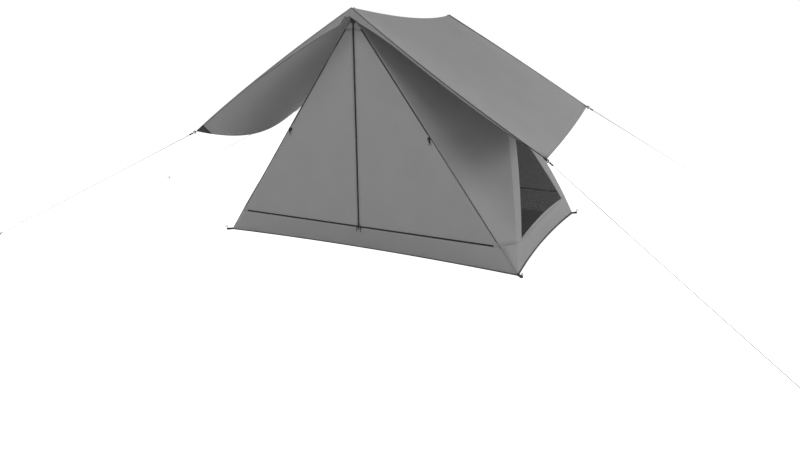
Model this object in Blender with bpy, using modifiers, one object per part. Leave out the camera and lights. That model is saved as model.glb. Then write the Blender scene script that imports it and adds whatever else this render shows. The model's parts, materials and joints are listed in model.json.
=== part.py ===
# Ridge tent for two: an inner tent on two upright poles, under a separate fly sheet.
# Metres. The origin is on the ground under the middle of the floor, +X runs along the
# wide door wall, -Y points out of the front doors and +Z is up.

import math

import bmesh
import bpy
from mathutils import Matrix, Vector

# Driving dimensions of the inner tent
FLOOR_WIDTH = 2.2
FLOOR_DEPTH = 1.5
APEX_HEIGHT = 1.5
RIDGE_SAG = 0.095
KNEE_REACH = 0.738
KNEE_HEIGHT = 0.93
FOLD_BOW_OUT = 0.024
FOLD_BOW_ALONG = 0.047
BAND_HEIGHT = 0.165
DOOR_TOP = 1.42
HEM_CURVE_SIDE = 0.036
HEM_CURVE_END = 0.05

# Driving dimensions of the fly sheet
FLY_APEX_Y = 0.765
FLY_APEX_HEIGHT = 1.541
FLY_RIDGE_SAG = 0.055
FLY_FRONT_CORNER = Vector((1.25, -0.86, 0.74))
FLY_REAR_CORNER = Vector((1.16, 0.67, 0.86))
FLY_FRONT_BOW = 0.057
FLY_REAR_BOW = 0.03
BRIM_DEPTH_APEX = 0.065
BRIM_DEPTH_EDGE = 0.02
BRIM_LEAN = 0.55
BRIM_END = 0.952

# How far the middle of each wing's free edge drops and draws in, and where it does so
WING_DROP = {"left": 0.10, "right": 0.02}
WING_DRAW_IN = {"left": 0.158, "right": 0.0}
WING_SKEW = {"left": 2.2, "right": 1.0}

# Guylines and pegs
PEG_FRONT = Vector((2.55, -1.60, 0.0))
PEG_REAR = Vector((2.84, 0.31, 0.0))
CORD_RADIUS = 0.0015
CORD_SAG = 0.004
PEG_RADIUS = 0.0025
PEG_HEIGHT = 0.030
PEG_HOOK_RADIUS = 0.007
PEG_POINT = 0.008
PEG_TIE_HEIGHT = 0.012

# Poles
POLE_RADIUS = 0.0095
POLE_FOOT_Y = 0.684
POLE_TOP_Y = 0.735
POLE_TOP_HEIGHT = 1.455
POLE_COLLAR = 0.001
COLLAR_HALF = 0.008
COLLAR_SLANT = 0.001
POLE_CUP = 0.0028
POLE_CUP_HEIGHT = 0.033
POLE_CHAMFER = 0.002
SPIGOT_RADIUS = 0.0033
SPIGOT_LENGTH = 0.098
EYE_CLEARANCE = 0.0011

# Thicknesses, gaps and edges
CLOTH = 0.0012
MESH_CLOTH = 0.0008
TAPE = 0.001
WEBBING = 0.0015
GAP = 0.0003
SEAM_INSET = 0.0007
RIDGE_INSET = 0.0006

# Zips
TAPE_HALF = 0.0055
COIL_RADIUS = 0.0023
SLIDER_LENGTH = 0.012
SLIDER_HALF_WIDTH = 0.0052
SIDE_TAPE_WIDTH = 0.0037
BASE_ZIP_HALF_LENGTH = 0.971
COIL_HALF_LENGTH = 0.938
COIL_RISE = COIL_RADIUS * 0.85
COIL_SUNK = TAPE * 0.3
BASE_SLIDER_GAP = 0.0075

SIDES = (("left", -1), ("right", 1))
ENDS = (("front", -1), ("rear", 1))

for old in list(bpy.data.objects):
    bpy.data.objects.remove(old, do_unlink=True)

tent = bpy.data.collections.new("ridge_tent")
cutters = bpy.data.collections.new("cutters")
bpy.context.scene.collection.children.link(tent)
bpy.context.scene.collection.children.link(cutters)


def material(name, colour, roughness, metallic=0.0):
    made = bpy.data.materials.new(name)
    made.use_nodes = True
    shader = made.node_tree.nodes["Principled BSDF"]
    shader.inputs["Base Color"].default_value = (*colour, 1.0)
    shader.inputs["Roughness"].default_value = roughness
    shader.inputs["Metallic"].default_value = metallic
    return made


FINISHES = {
    "wall_cloth": ((0.22, 0.22, 0.22), 0.75, 0.0),
    "fly_cloth": ((0.27, 0.27, 0.27), 0.7, 0.0),
    "floor_cloth": ((0.04, 0.04, 0.04), 0.6, 0.0),
    "netting": ((0.03, 0.03, 0.03), 0.9, 0.0),
    "zip_tape": ((0.015, 0.015, 0.015), 0.6, 0.0),
    "webbing": ((0.012, 0.012, 0.012), 0.8, 0.0),
    "steel_wire": ((0.35, 0.35, 0.36), 0.35, 1.0),
    "pole_tube": ((0.05, 0.05, 0.05), 0.4, 1.0),
    "moulded_black": ((0.015, 0.015, 0.015), 0.45, 0.0),
    "slider_metal": ((0.015, 0.015, 0.015), 0.4, 0.5),
    "cord": ((0.45, 0.45, 0.45), 0.8, 0.0),
}


def finish(obj, name, look, pivot=None):
    """Name the object, give it its own material and, if it moves, its pivot as origin."""
    obj.name = name
    obj.data.name = name
    obj.data.materials.clear()
    obj.data.materials.append(material(f"{name}_{look}", *FINISHES[look]))
    if pivot is not None:
        obj = as_mesh(obj, name)
        obj.data.transform(Matrix.Translation(-Vector(pivot)))
        obj.location = pivot
    return obj


def new_object(data, matrix=None):
    obj = bpy.data.objects.new("piece", data)
    tent.objects.link(obj)
    if matrix is not None:
        obj.matrix_world = matrix
    return obj


def outline(loops, thickness, matrix=None):
    """Flat plate: closed outlines, the first one outside and the rest holes, made solid."""
    curve = bpy.data.curves.new("outline", "CURVE")
    curve.dimensions = "2D"
    curve.fill_mode = "BOTH"
    curve.extrude = thickness / 2
    for loop in loops:
        spline = curve.splines.new("POLY")
        spline.points.add(len(loop) - 1)
        for point, place in zip(spline.points, loop):
            point.co = (place[0], place[1], 0.0, 1.0)
        spline.use_cyclic_u = True
    return new_object(curve, matrix)


def as_mesh(obj, name="piece"):
    """Turn a piece into a plain mesh with its modifiers and its place in it."""
    bpy.context.view_layer.update()
    graph = bpy.context.evaluated_depsgraph_get()
    mesh = bpy.data.meshes.new_from_object(obj.evaluated_get(graph))
    mesh.transform(obj.matrix_world)
    if obj.matrix_world.determinant() < 0:
        mesh.flip_normals()
    work = bmesh.new()
    work.from_mesh(mesh)
    bmesh.ops.remove_doubles(work, verts=work.verts, dist=0.00001)
    work.to_mesh(mesh)
    work.free()
    bpy.data.objects.remove(obj, do_unlink=True)
    made = new_object(mesh)
    made.name = name
    mesh.name = name
    return made


def boolean(target, tool, operation):
    cut = target.modifiers.new(operation.lower(), "BOOLEAN")
    cut.operation = operation
    cut.solver = "EXACT"
    cut.object = tool
    return cut


def fuse(base, *others):
    """Union of overlapping solids as one mesh."""
    body = as_mesh(base)
    for other in others:
        tool = as_mesh(other)
        boolean(body, tool, "UNION")
        body = as_mesh(body)
        bpy.data.objects.remove(tool, do_unlink=True)
    return body


def sheet(patches, thickness):
    """Cloth made solid: grid primitives laid on rows of points and sewn where they meet."""
    mesh = bpy.data.meshes.new("sheet")
    work = bmesh.new()
    for rows in patches:
        columns = len(rows[0])
        made = bmesh.ops.create_grid(work, x_segments=columns - 1, y_segments=len(rows) - 1, size=1.0)
        for index, vert in enumerate(made["verts"]):
            vert.co = rows[index // columns][index % columns]
    bmesh.ops.remove_doubles(work, verts=work.verts, dist=0.00005)
    bmesh.ops.recalc_face_normals(work, faces=work.faces)
    work.to_mesh(mesh)
    work.free()
    obj = new_object(mesh)
    solid = obj.modifiers.new("thickness", "SOLIDIFY")
    solid.thickness = thickness
    solid.offset = 0.0
    return obj


def frame_at(origin, x_axis, y_axis):
    """Placing matrix with local X and Y along two directions square to each other."""
    x_axis = Vector(x_axis).normalized()
    y_axis = Vector(y_axis).normalized()
    z_axis = x_axis.cross(y_axis)
    turn = Matrix((x_axis, y_axis, z_axis)).transposed().to_4x4()
    return Matrix.Translation(Vector(origin)) @ turn


def inset_loop(loop, distance):
    """Move a flat closed outline inwards, each side by the same distance."""
    area = sum(a[0] * b[1] - b[0] * a[1] for a, b in zip(loop, loop[1:] + loop[:1]))
    inward = distance if area > 0 else -distance
    moved = []
    for index, corner in enumerate(loop):
        before = (Vector(corner) - Vector(loop[index - 1])).normalized()
        after = (Vector(loop[(index + 1) % len(loop)]) - Vector(corner)).normalized()
        normal_before = Vector((-before.y, before.x))
        normal_after = Vector((-after.y, after.x))
        mitre = normal_before + normal_after
        mitre *= inward / mitre.dot(normal_before)
        moved.append((corner[0] + mitre.x, corner[1] + mitre.y))
    return moved


def turned(profile, steps, matrix=None, closed=False):
    """Round piece: (radius, height) points, top to bottom, spun about local Z."""
    work = bmesh.new()
    verts = [work.verts.new((radius, 0.0, height)) for radius, height in profile]
    for a, b in zip(verts, verts[1:]):
        work.edges.new((a, b))
    if closed:
        work.edges.new((verts[-1], verts[0]))
    mesh = bpy.data.meshes.new("profile")
    work.to_mesh(mesh)
    work.free()
    obj = new_object(mesh, matrix)
    spin = obj.modifiers.new("spin", "SCREW")
    spin.steps = steps
    spin.render_steps = steps
    spin.use_merge_vertices = True
    spin.merge_threshold = 0.00001
    return obj


def tube(points, radius, resolution=2):
    """Round cord or wire through a list of points, with its ends closed."""
    curve = bpy.data.curves.new("tube", "CURVE")
    curve.dimensions = "3D"
    curve.bevel_depth = radius
    curve.bevel_resolution = resolution
    curve.use_fill_caps = True
    spline = curve.splines.new("POLY")
    spline.points.add(len(points) - 1)
    for point, place in zip(spline.points, points):
        point.co = (*place, 1.0)
    return new_object(curve)


# Inner tent: the four corners, the two apexes and the pulled-out knee of each side wall
HALF_WIDTH = FLOOR_WIDTH / 2
HALF_DEPTH = FLOOR_DEPTH / 2
SEAM_LENGTH = math.hypot(HALF_WIDTH, APEX_HEIGHT)
KNEE = Vector((KNEE_REACH, 0.0, KNEE_HEIGHT))
CORNER = Vector((HALF_WIDTH, -HALF_DEPTH, 0.0))
APEX = Vector((0.0, -HALF_DEPTH, APEX_HEIGHT))
WALL_BASE = BAND_HEIGHT + GAP
HEM_LIFT = CLOTH + 2 * GAP


def placed(point, side, end):
    """A point of the right-hand front quarter, moved to another quarter."""
    return Vector((point[0] * side, point[1] * -end, point[2]))


def on_seam(height):
    """Point of the right-hand front seam at a height."""
    return CORNER.lerp(APEX, height / APEX_HEIGHT)


def on_crease(height):
    """Point of the fold from the ground corner to the knee. The fold bows outwards."""
    part = height / KNEE_HEIGHT
    bow = Vector((FOLD_BOW_OUT, -FOLD_BOW_ALONG, 0.0)) * 4 * part * (1 - part)
    return CORNER.lerp(KNEE, part) + bow


def on_panel(along, height):
    """Point of the right-hand window panel, which curves only up its slope."""
    return Vector((on_crease(height).x, along, height))


def ridge_height(y):
    return APEX_HEIGHT - RIDGE_SAG * (1 - (y / HALF_DEPTH) ** 2)


# The gusset beside the front wall lies near the plane of corner, apex and knee
GUSSET_NORMAL = (KNEE - CORNER).cross(APEX - CORNER).normalized()
SEAM_DIRECTION = (APEX - CORNER).normalized()
FROM_SEAM = GUSSET_NORMAL.cross(SEAM_DIRECTION)
FROM_SEAM *= 1 if FROM_SEAM.dot(KNEE - CORNER) > 0 else -1

# The window in the panel under the knee: heights, and half its width at the sill
WINDOW_TOP = 0.78
WINDOW_HALF_BASE = 0.535
WINDOW_SILL = 0.0055
WINDOW_ARCH = 0.019
ARCH_STEPS = 6
RIDGE_STEPS = 10
WALL_STEPS = 4


def steps_between(start, stop, count):
    return [start.lerp(stop, step / count) for step in range(count + 1)]


def side_wall(side):
    """Side wall in one sheet: roof, two gussets and the panel round the window."""
    seam_shift = FROM_SEAM * SEAM_INSET
    foot_seam = on_seam(WALL_BASE) + seam_shift
    apex = APEX + seam_shift + Vector((RIDGE_INSET, 0.0, -RIDGE_INSET))
    ridge = [apex]
    for step in range(1, RIDGE_STEPS):
        y = apex.y * (1 - 2 * step / RIDGE_STEPS)
        ridge.append(Vector((SEAM_INSET + RIDGE_INSET, y, ridge_height(y))))
    ridge.append(Vector((apex.x, -apex.y, apex.z)))
    roof = [[point.lerp(KNEE, step / WALL_STEPS) for point in ridge] for step in range(WALL_STEPS + 1)]

    seam = steps_between(foot_seam, apex, WALL_STEPS)
    fold = []
    for step in range(WALL_STEPS + 1):
        fold.append(on_crease(WALL_BASE + (KNEE_HEIGHT - WALL_BASE) * step / WALL_STEPS))
    gusset = [steps_between(a, b, WALL_STEPS) for a, b in zip(fold, seam)]
    top, *sill = window_hole()
    frame_side = [fold, [on_panel(*place) for place in steps_between(sill[0], top, WALL_STEPS)]]
    patches = [roof]
    for rows in (gusset, frame_side):
        patches.append(rows)
        patches.append([[Vector((p.x, -p.y, p.z)) for p in row] for row in rows])
    foot = Vector((fold[0].x, -fold[0].y, fold[0].z))
    patches.append([steps_between(fold[0], foot, ARCH_STEPS), [on_panel(*place) for place in sill]])
    patches = [[[placed(point, side, -1) for point in row] for row in rows] for rows in patches]
    return fuse(sheet(patches, CLOTH), knee_strap(side))


def window_hole():
    """Triangle of netting with a sill that arches up in its middle: (along, height)."""
    loop = [Vector((0.0, WINDOW_TOP))]
    for step in range(ARCH_STEPS + 1):
        across = 1 - 2 * step / ARCH_STEPS
        rise = WINDOW_ARCH * (1 - across ** 2)
        loop.append(Vector((-WINDOW_HALF_BASE * across, WALL_BASE + WINDOW_SILL + rise)))
    return loop


def window_mesh(side):
    """Netting that fills the hole in the side wall."""
    top, *sill = [Vector(place) for place in inset_loop(window_hole(), GAP)]
    rows = []
    for step in range(WALL_STEPS + 1):
        row = [on_panel(*foot.lerp(top, step / WALL_STEPS)) for foot in sill]
        rows.append([placed(point, side, -1) for point in row])
    return sheet([rows], MESH_CLOTH)


def end_hem(x):
    """Distance of the front or rear hem from the middle of the tent."""
    return HALF_DEPTH - HEM_CURVE_END * (1 - (x / HALF_WIDTH) ** 2)


def side_hem(y):
    return HALF_WIDTH - HEM_CURVE_SIDE * (1 - (y / HALF_DEPTH) ** 2)


def end_band(end):
    """Band between the ground and the door zip, its hem cut in a shallow curve."""
    steps = 12
    band_top = BAND_HEIGHT - TAPE_HALF - GAP
    top_half = on_seam(band_top).x - SEAM_INSET * SEAM_LENGTH / APEX_HEIGHT
    foot_half = HALF_WIDTH - SEAM_INSET * 2
    rows = [[], []]
    for step in range(steps + 1):
        across = 2 * step / steps - 1
        foot_x = foot_half * across
        rows[0].append(Vector((top_half * across, HALF_DEPTH * end, band_top)))
        rows[1].append(Vector((foot_x, end_hem(foot_x) * end, HEM_LIFT)))
    return sheet([rows], CLOTH)


def side_band(side):
    """Band under the window and the two gussets."""
    steps = 10
    top = BAND_HEIGHT - GAP
    corner = CORNER + FROM_SEAM * SEAM_INSET + Vector((0.0, 0.0, HEM_LIFT))
    seam_top = on_seam(top) + FROM_SEAM * SEAM_INSET
    crease_top = on_crease(top)
    pairs = [(seam_top, corner)]
    for step in range(steps + 1):
        across = 1 - 2 * step / steps
        foot_y = corner.y * across
        foot = Vector((side_hem(foot_y), foot_y, HEM_LIFT))
        if step in (0, steps):
            foot = Vector((corner.x, foot_y, corner.z))
        pairs.append((Vector((crease_top.x, crease_top.y * across, top)), foot))
    pairs.append((Vector((seam_top.x, -seam_top.y, top)), Vector((corner.x, -corner.y, corner.z))))
    rows = [[placed(pair[row], side, -1) for pair in pairs] for row in range(2)]
    return sheet([rows], CLOTH)


# Peg loops at the corners of the floor
LOOP_END = 0.044
LOOP_HALF_WIDTH = 0.0085
LOOP_CHAMFER = 0.004
LOOP_EYE = 0.032
LOOP_EYE_RADIUS = 0.0055
LOOP_ROOT = 0.002
LOOP_TURN = math.radians(40)
FLOOR_LIP = 0.0009


def loop_direction(end, side):
    return Vector((math.cos(LOOP_TURN) * side, math.sin(LOOP_TURN) * end, 0.0))


def corner_peg_place(end, side):
    corner = Vector((HALF_WIDTH * side, HALF_DEPTH * end, 0.0))
    return corner + loop_direction(end, side) * LOOP_EYE


def floor_sheet():
    """Groundsheet under the hems, its edges curved, with a peg loop at each corner."""
    edge_steps = 12
    loops = [[]]
    for end, side in ((-1, 1), (1, 1), (1, -1), (-1, -1)):
        along = loop_direction(end, side)
        across = Vector((0.0, 0.0, 1.0)).cross(along)
        corner = Vector((HALF_WIDTH * side, HALF_DEPTH * end, 0.0))
        half = LOOP_HALF_WIDTH
        strap = [
            (LOOP_ROOT, -half), (LOOP_END - LOOP_CHAMFER, -half), (LOOP_END, LOOP_CHAMFER - half),
            (LOOP_END, half - LOOP_CHAMFER), (LOOP_END - LOOP_CHAMFER, half), (LOOP_ROOT, half),
        ]
        loops[0] += [(corner + along * out + across * over).to_2d() for out, over in strap]
        for step in range(1, edge_steps):
            if end == side:
                x = HALF_WIDTH * (1 - 2 * step / edge_steps) * side
                loops[0].append(Vector((x, (end_hem(x) + FLOOR_LIP) * end)))
            else:
                y = HALF_DEPTH * (2 * step / edge_steps - 1) * side
                loops[0].append(Vector(((side_hem(y) + FLOOR_LIP) * side, y)))
        centre = corner_peg_place(end, side)
        eye = []
        for step in range(12):
            turn = Matrix.Rotation(2 * math.pi * step / 12, 2)
            eye.append(centre.to_2d() + turn @ Vector((LOOP_EYE_RADIUS, 0.0)))
        loops.append(eye)
    return outline(loops, CLOTH, Matrix.Translation((0.0, 0.0, CLOTH / 2)))


# Door walls. Local X is to the right as the wall is seen from outside, local Y is up
TAPE_TOP = BAND_HEIGHT + TAPE_HALF + GAP
DOOR_BASE = TAPE_TOP + SIDE_TAPE_WIDTH + GAP


def wall_plane(end):
    return frame_at((0.0, HALF_DEPTH * end, 0.0), (-end, 0.0, 0.0), (0.0, 0.0, 1.0))


def seam_x(height, inset):
    return HALF_WIDTH * (1 - height / APEX_HEIGHT) - inset * SEAM_LENGTH / APEX_HEIGHT


def door(end, side):
    """Half of the wall, with its long side sewn to the sloping seam and a tie loop on it."""
    middle = TAPE_HALF + GAP
    if side < 0:
        middle += SIDE_TAPE_WIDTH + GAP
    loop = [
        (middle, DOOR_BASE),
        (seam_x(DOOR_BASE, SEAM_INSET), DOOR_BASE),
        (seam_x(DOOR_TOP, SEAM_INSET), DOOR_TOP),
        (middle, DOOR_TOP),
    ]
    panel = outline([[(x * side, z) for x, z in loop]], CLOTH, wall_plane(end))
    return fuse(panel, tie_loop(end, side * -end))


def coil(half_length, matrix):
    """Zip coil: a half-round bead, local Z along it and local -Y away from the tape."""
    steps = 8
    loop = [(COIL_RADIUS, COIL_SUNK)]
    for step in range(steps + 1):
        angle = math.pi * step / steps
        loop.append((COIL_RADIUS * math.cos(angle), -COIL_RISE * math.sin(angle)))
    loop.append((-COIL_RADIUS, COIL_SUNK))
    return outline([loop], half_length * 2, matrix)


def door_zip(end, side):
    """Tape on one door: up the middle and along the foot. The right one has the coil."""
    foot_end = BASE_ZIP_HALF_LENGTH - GAP * 6
    inner = -TAPE_HALF if side > 0 else TAPE_HALF + GAP
    outer = TAPE_HALF if side > 0 else TAPE_HALF + GAP + SIDE_TAPE_WIDTH
    foot_top = DOOR_BASE - GAP
    loop = [
        (inner, TAPE_TOP),
        (foot_end, TAPE_TOP),
        (foot_end, foot_top),
        (outer, foot_top),
        (outer, DOOR_TOP),
        (inner, DOOR_TOP),
    ]
    tape = outline([[(x * side, z) for x, z in loop]], TAPE, wall_plane(end))
    if side < 0:
        return tape
    bottom = foot_top + GAP
    half = (DOOR_TOP - bottom) / 2
    face = Vector((0.0, (HALF_DEPTH + TAPE / 2) * end, bottom + half))
    bead = coil(half, frame_at(face, (1.0, 0.0, 0.0), (0.0, -end, 0.0)))
    return fuse(tape, bead)


def base_zip(end):
    """Tape and coil along the top of the base band."""
    half = BASE_ZIP_HALF_LENGTH
    loop = [
        (-half, BAND_HEIGHT - TAPE_HALF),
        (half, BAND_HEIGHT - TAPE_HALF),
        (half, BAND_HEIGHT + TAPE_HALF),
        (-half, BAND_HEIGHT + TAPE_HALF),
    ]
    tape = outline([loop], TAPE, wall_plane(end))
    face = Vector((0.0, (HALF_DEPTH + TAPE / 2) * end, BAND_HEIGHT))
    bead = coil(COIL_HALF_LENGTH, frame_at(face, (0.0, 0.0, 1.0), (0.0, -end, 0.0)))
    return fuse(tape, bead)


# Slider: an arched shell over the coil, with an upright bridge for its pull tab
SLIDER_CHANNEL_HALF = 0.0030
SLIDER_ROOF = 0.0015
SLIDER_SHOULDER = 0.0008
CHANNEL_HEIGHT = COIL_RISE + GAP * 2
BRIDGE_HALF_LENGTH = 0.0036
BRIDGE_HALF_WIDTH = 0.0009
BRIDGE_WINDOW = 0.0026
BRIDGE_BAR = 0.0010
BRIDGE_LEG = 0.0011
BRIDGE_CHAMFER = 0.0006
BRIDGE_SUNK = 0.0004
PULL_HALF_WIDTH = 0.0031
PULL_LENGTH = 0.036
PULL_THICKNESS = 0.0011
PULL_BAR = 0.0006
PULL_SLOT_FOOT = -0.0052
PULL_SHOULDER = -0.012
PULL_TIP = 0.004
SLIDER_OFF_DOOR = 0.002
PIVOT_OUT = TAPE / 2 + GAP + CHANNEL_HEIGHT + SLIDER_ROOF + BRIDGE_WINDOW / 2
SLIDER_FOOT_HEIGHT = DOOR_BASE + SLIDER_OFF_DOOR + SLIDER_LENGTH / 2
SLIDER_FOOT_OFFSET = BASE_SLIDER_GAP + SLIDER_LENGTH / 2


def slider(end, place, upright):
    """Slider body at a point of the wall plane, running upright or sideways."""
    base = TAPE / 2 + GAP
    top = base + CHANNEL_HEIGHT + SLIDER_ROOF
    inner = SLIDER_CHANNEL_HALF
    outer = SLIDER_HALF_WIDTH
    slant = SLIDER_SHOULDER
    roof = base + CHANNEL_HEIGHT
    shell = [
        (inner, base), (outer, base), (outer, top - slant), (outer - slant, top),
        (slant - outer, top), (-outer, top - slant), (-outer, base), (-inner, base),
        (-inner, roof), (inner, roof),
    ]
    wall_point = Vector((place[0], HALF_DEPTH * end, place[1]))
    outward = Vector((0.0, end, 0.0))
    across = Vector((1.0, 0.0, 0.0)) if upright else Vector((0.0, 0.0, 1.0))
    body = outline([shell], SLIDER_LENGTH, frame_at(wall_point, across, outward))
    foot = top - BRIDGE_SUNK
    window_top = top + BRIDGE_WINDOW
    bridge_top = window_top + BRIDGE_BAR
    reach = BRIDGE_HALF_LENGTH
    inside = reach - BRIDGE_LEG
    cut = BRIDGE_CHAMFER
    arch = [
        (reach, foot), (reach, bridge_top - cut), (reach - cut, bridge_top),
        (cut - reach, bridge_top), (-reach, bridge_top - cut), (-reach, foot),
        (-inside, foot), (-inside, window_top), (inside, window_top), (inside, foot),
    ]
    width = BRIDGE_HALF_WIDTH * 2
    bridge = outline([arch], width, frame_at(wall_point, (0.0, 0.0, 1.0), outward))
    return fuse(body, bridge)


def pull_tab(end, pivot):
    """Flat tab whose top bar passes through the slider's bridge."""
    half = PULL_HALF_WIDTH
    slot_half = BRIDGE_HALF_WIDTH + GAP * 2
    taper = half * 0.8
    tip = taper * 0.6
    outer = [
        (-half, PULL_BAR), (-half, PULL_SHOULDER), (-taper, PULL_TIP - PULL_LENGTH),
        (-tip, -PULL_LENGTH), (tip, -PULL_LENGTH), (taper, PULL_TIP - PULL_LENGTH),
        (half, PULL_SHOULDER), (half, PULL_BAR),
    ]
    slot = [
        (-slot_half, PULL_SLOT_FOOT), (-slot_half, -PULL_BAR),
        (slot_half, -PULL_BAR), (slot_half, PULL_SLOT_FOOT),
    ]
    return outline([outer, slot], PULL_THICKNESS, frame_at(pivot, (-end, 0.0, 0.0), (0.0, 0.0, 1.0)))


# Tie-back toggles beside the seams. Each hangs from a small loop sewn to its door
TOGGLE_HEIGHT = 0.79
TOGGLE_FROM_SEAM = 0.009
LOOP_RADIUS = 0.008
LOOP_WIRE = 0.0012
LOOP_OUT = 0.0074
TOGGLE_RADIUS = 0.0048
TOGGLE_TOP = 0.0055
TOGGLE_LENGTH = 0.022
TOGGLE_BORE = 0.0034
TOGGLE_CHAMFER = 0.0015
LEG_LENGTH = 0.018
LEG_SPREAD = 0.008
LEG_START = 0.0018
LEG_SUNK = 0.004


def toggle_pivot(end, side):
    """Lowest point of the loop's wire, on which the toggle swings."""
    inward = SEAM_DIRECTION.cross(Vector((0.0, 1.0, 0.0))) * TOGGLE_FROM_SEAM
    if inward.x > 0:
        inward = -inward
    point = on_seam(TOGGLE_HEIGHT) + inward
    return Vector((point.x * side, (HALF_DEPTH + LOOP_OUT) * end, point.z - LOOP_RADIUS))


def torus(centre, axis, major, minor, major_steps=20, minor_steps=8):
    loop = []
    for step in range(minor_steps):
        angle = -2 * math.pi * step / minor_steps
        loop.append((major + minor * math.cos(angle), minor * math.sin(angle)))
    turn = Vector(axis).normalized().to_track_quat("Z", "Y").to_matrix().to_4x4()
    return turned(loop, major_steps, Matrix.Translation(Vector(centre)) @ turn, closed=True)


def tie_loop(end, side):
    centre = toggle_pivot(end, side) + Vector((0.0, 0.0, LOOP_RADIUS))
    return torus(centre, (1.0, 0.0, 0.0), LOOP_RADIUS, LOOP_WIRE)


def toggle(end, side):
    """Barrel toggle with a cross bore for its loop and two short elastic legs."""
    pivot = toggle_pivot(end, side)
    foot = TOGGLE_TOP - TOGGLE_LENGTH
    rim = TOGGLE_RADIUS * 0.7
    profile = [
        (0.0, TOGGLE_TOP), (rim, TOGGLE_TOP), (TOGGLE_RADIUS, TOGGLE_TOP - TOGGLE_CHAMFER),
        (TOGGLE_RADIUS, foot + TOGGLE_CHAMFER), (rim, foot), (0.0, foot),
    ]
    barrel = turned(profile, 16, Matrix.Translation(pivot))
    legs = []
    leg_steps = 5
    for lean in (-1, 1):
        route = []
        for step in range(leg_steps + 1):
            drop = step / leg_steps
            spread = lean * (LEG_START + LEG_SPREAD * drop ** 1.5)
            route.append(pivot + Vector((spread, 0.0, foot + LEG_SUNK - LEG_LENGTH * drop)))
        legs.append(tube(route, LOOP_WIRE, 1))
    body = fuse(barrel, *legs)
    bpy.ops.mesh.primitive_cylinder_add(
        vertices=16, radius=TOGGLE_BORE, depth=TOGGLE_LENGTH, location=pivot, rotation=(math.pi / 2, 0.0, 0.0))
    hole = bpy.context.object
    boolean(body, hole, "DIFFERENCE")
    body = as_mesh(body)
    bpy.data.objects.remove(hole, do_unlink=True)
    return body


# Poles lean a little: the foot stands inside the curved hem, the top under the apex
POLE_BASE_HEIGHT = CLOTH + GAP * 3
HOLE_ABOVE_POLE = 0.012


def pole_axis(end):
    foot = Vector((0.0, POLE_FOOT_Y * end, POLE_BASE_HEIGHT))
    top = Vector((0.0, POLE_TOP_Y * end, POLE_TOP_HEIGHT))
    return foot, top


def pole_matrix(end):
    foot, top = pole_axis(end)
    along = (top - foot).normalized()
    return frame_at(foot, (1.0, 0.0, 0.0), along.cross(Vector((1.0, 0.0, 0.0))))


def pole(end):
    """Tube in three sections with swaged joints, a rubber foot and a spigot on top."""
    foot, top = pole_axis(end)
    length = (top - foot).length
    tip = length + SPIGOT_LENGTH
    collar = POLE_RADIUS + POLE_COLLAR
    profile = [(0.0, tip), (SPIGOT_RADIUS * 0.6, tip), (SPIGOT_RADIUS, tip - POLE_CHAMFER)]
    profile += [(SPIGOT_RADIUS, length), (POLE_RADIUS * 0.8, length)]
    profile.append((POLE_RADIUS, length - POLE_CHAMFER))
    for fraction in (2 / 3, 1 / 3):
        joint = length * fraction
        flat = COLLAR_HALF - COLLAR_SLANT
        profile += [
            (POLE_RADIUS, joint + COLLAR_HALF), (collar, joint + flat),
            (collar, joint - flat), (POLE_RADIUS, joint - COLLAR_HALF),
        ]
    cup = POLE_RADIUS + POLE_CUP
    profile += [
        (POLE_RADIUS, POLE_CUP_HEIGHT), (cup - POLE_CUP / 4, POLE_CUP_HEIGHT - POLE_CHAMFER / 4),
        (cup, POLE_CHAMFER), (cup - POLE_CUP / 2, 0.0), (0.0, 0.0),
    ]
    return turned(profile, 20, pole_matrix(end))


def spigot_hole(end, end_name):
    """Cutter along the pole's spigot."""
    foot, top = pole_axis(end)
    along = (top - foot).normalized()
    middle = top + along * (SPIGOT_LENGTH / 2 + HOLE_ABOVE_POLE)
    turn = along.to_track_quat("Z", "Y").to_euler()
    bpy.ops.mesh.primitive_cylinder_add(
        vertices=20, radius=SPIGOT_RADIUS + EYE_CLEARANCE, depth=SPIGOT_LENGTH, location=middle, rotation=turn)
    hole = bpy.context.object
    hole.name = f"spigot_hole_{end_name}"
    hole.display_type = "WIRE"
    hole.hide_render = True
    for owner in list(hole.users_collection):
        owner.objects.unlink(hole)
    cutters.objects.link(hole)
    return hole


def spigot_point(end, height):
    foot, top = pole_axis(end)
    along = top - foot
    return foot + along * ((height - foot.z) / along.z)


# Webbing of the apex: its widths, its lengths on both sides of the fold and its stitched box
APEX_TAB_HALF_WIDTH = 0.010
APEX_TAB_INNER = 0.03
APEX_TAB_OVERHANG = 0.0025
APEX_FOLD_DROP = 0.034
APEX_GABLE_GAP = 0.01
BOX_STITCH_FOOT = 0.003
BOX_STITCH_HEIGHT = 0.013


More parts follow.
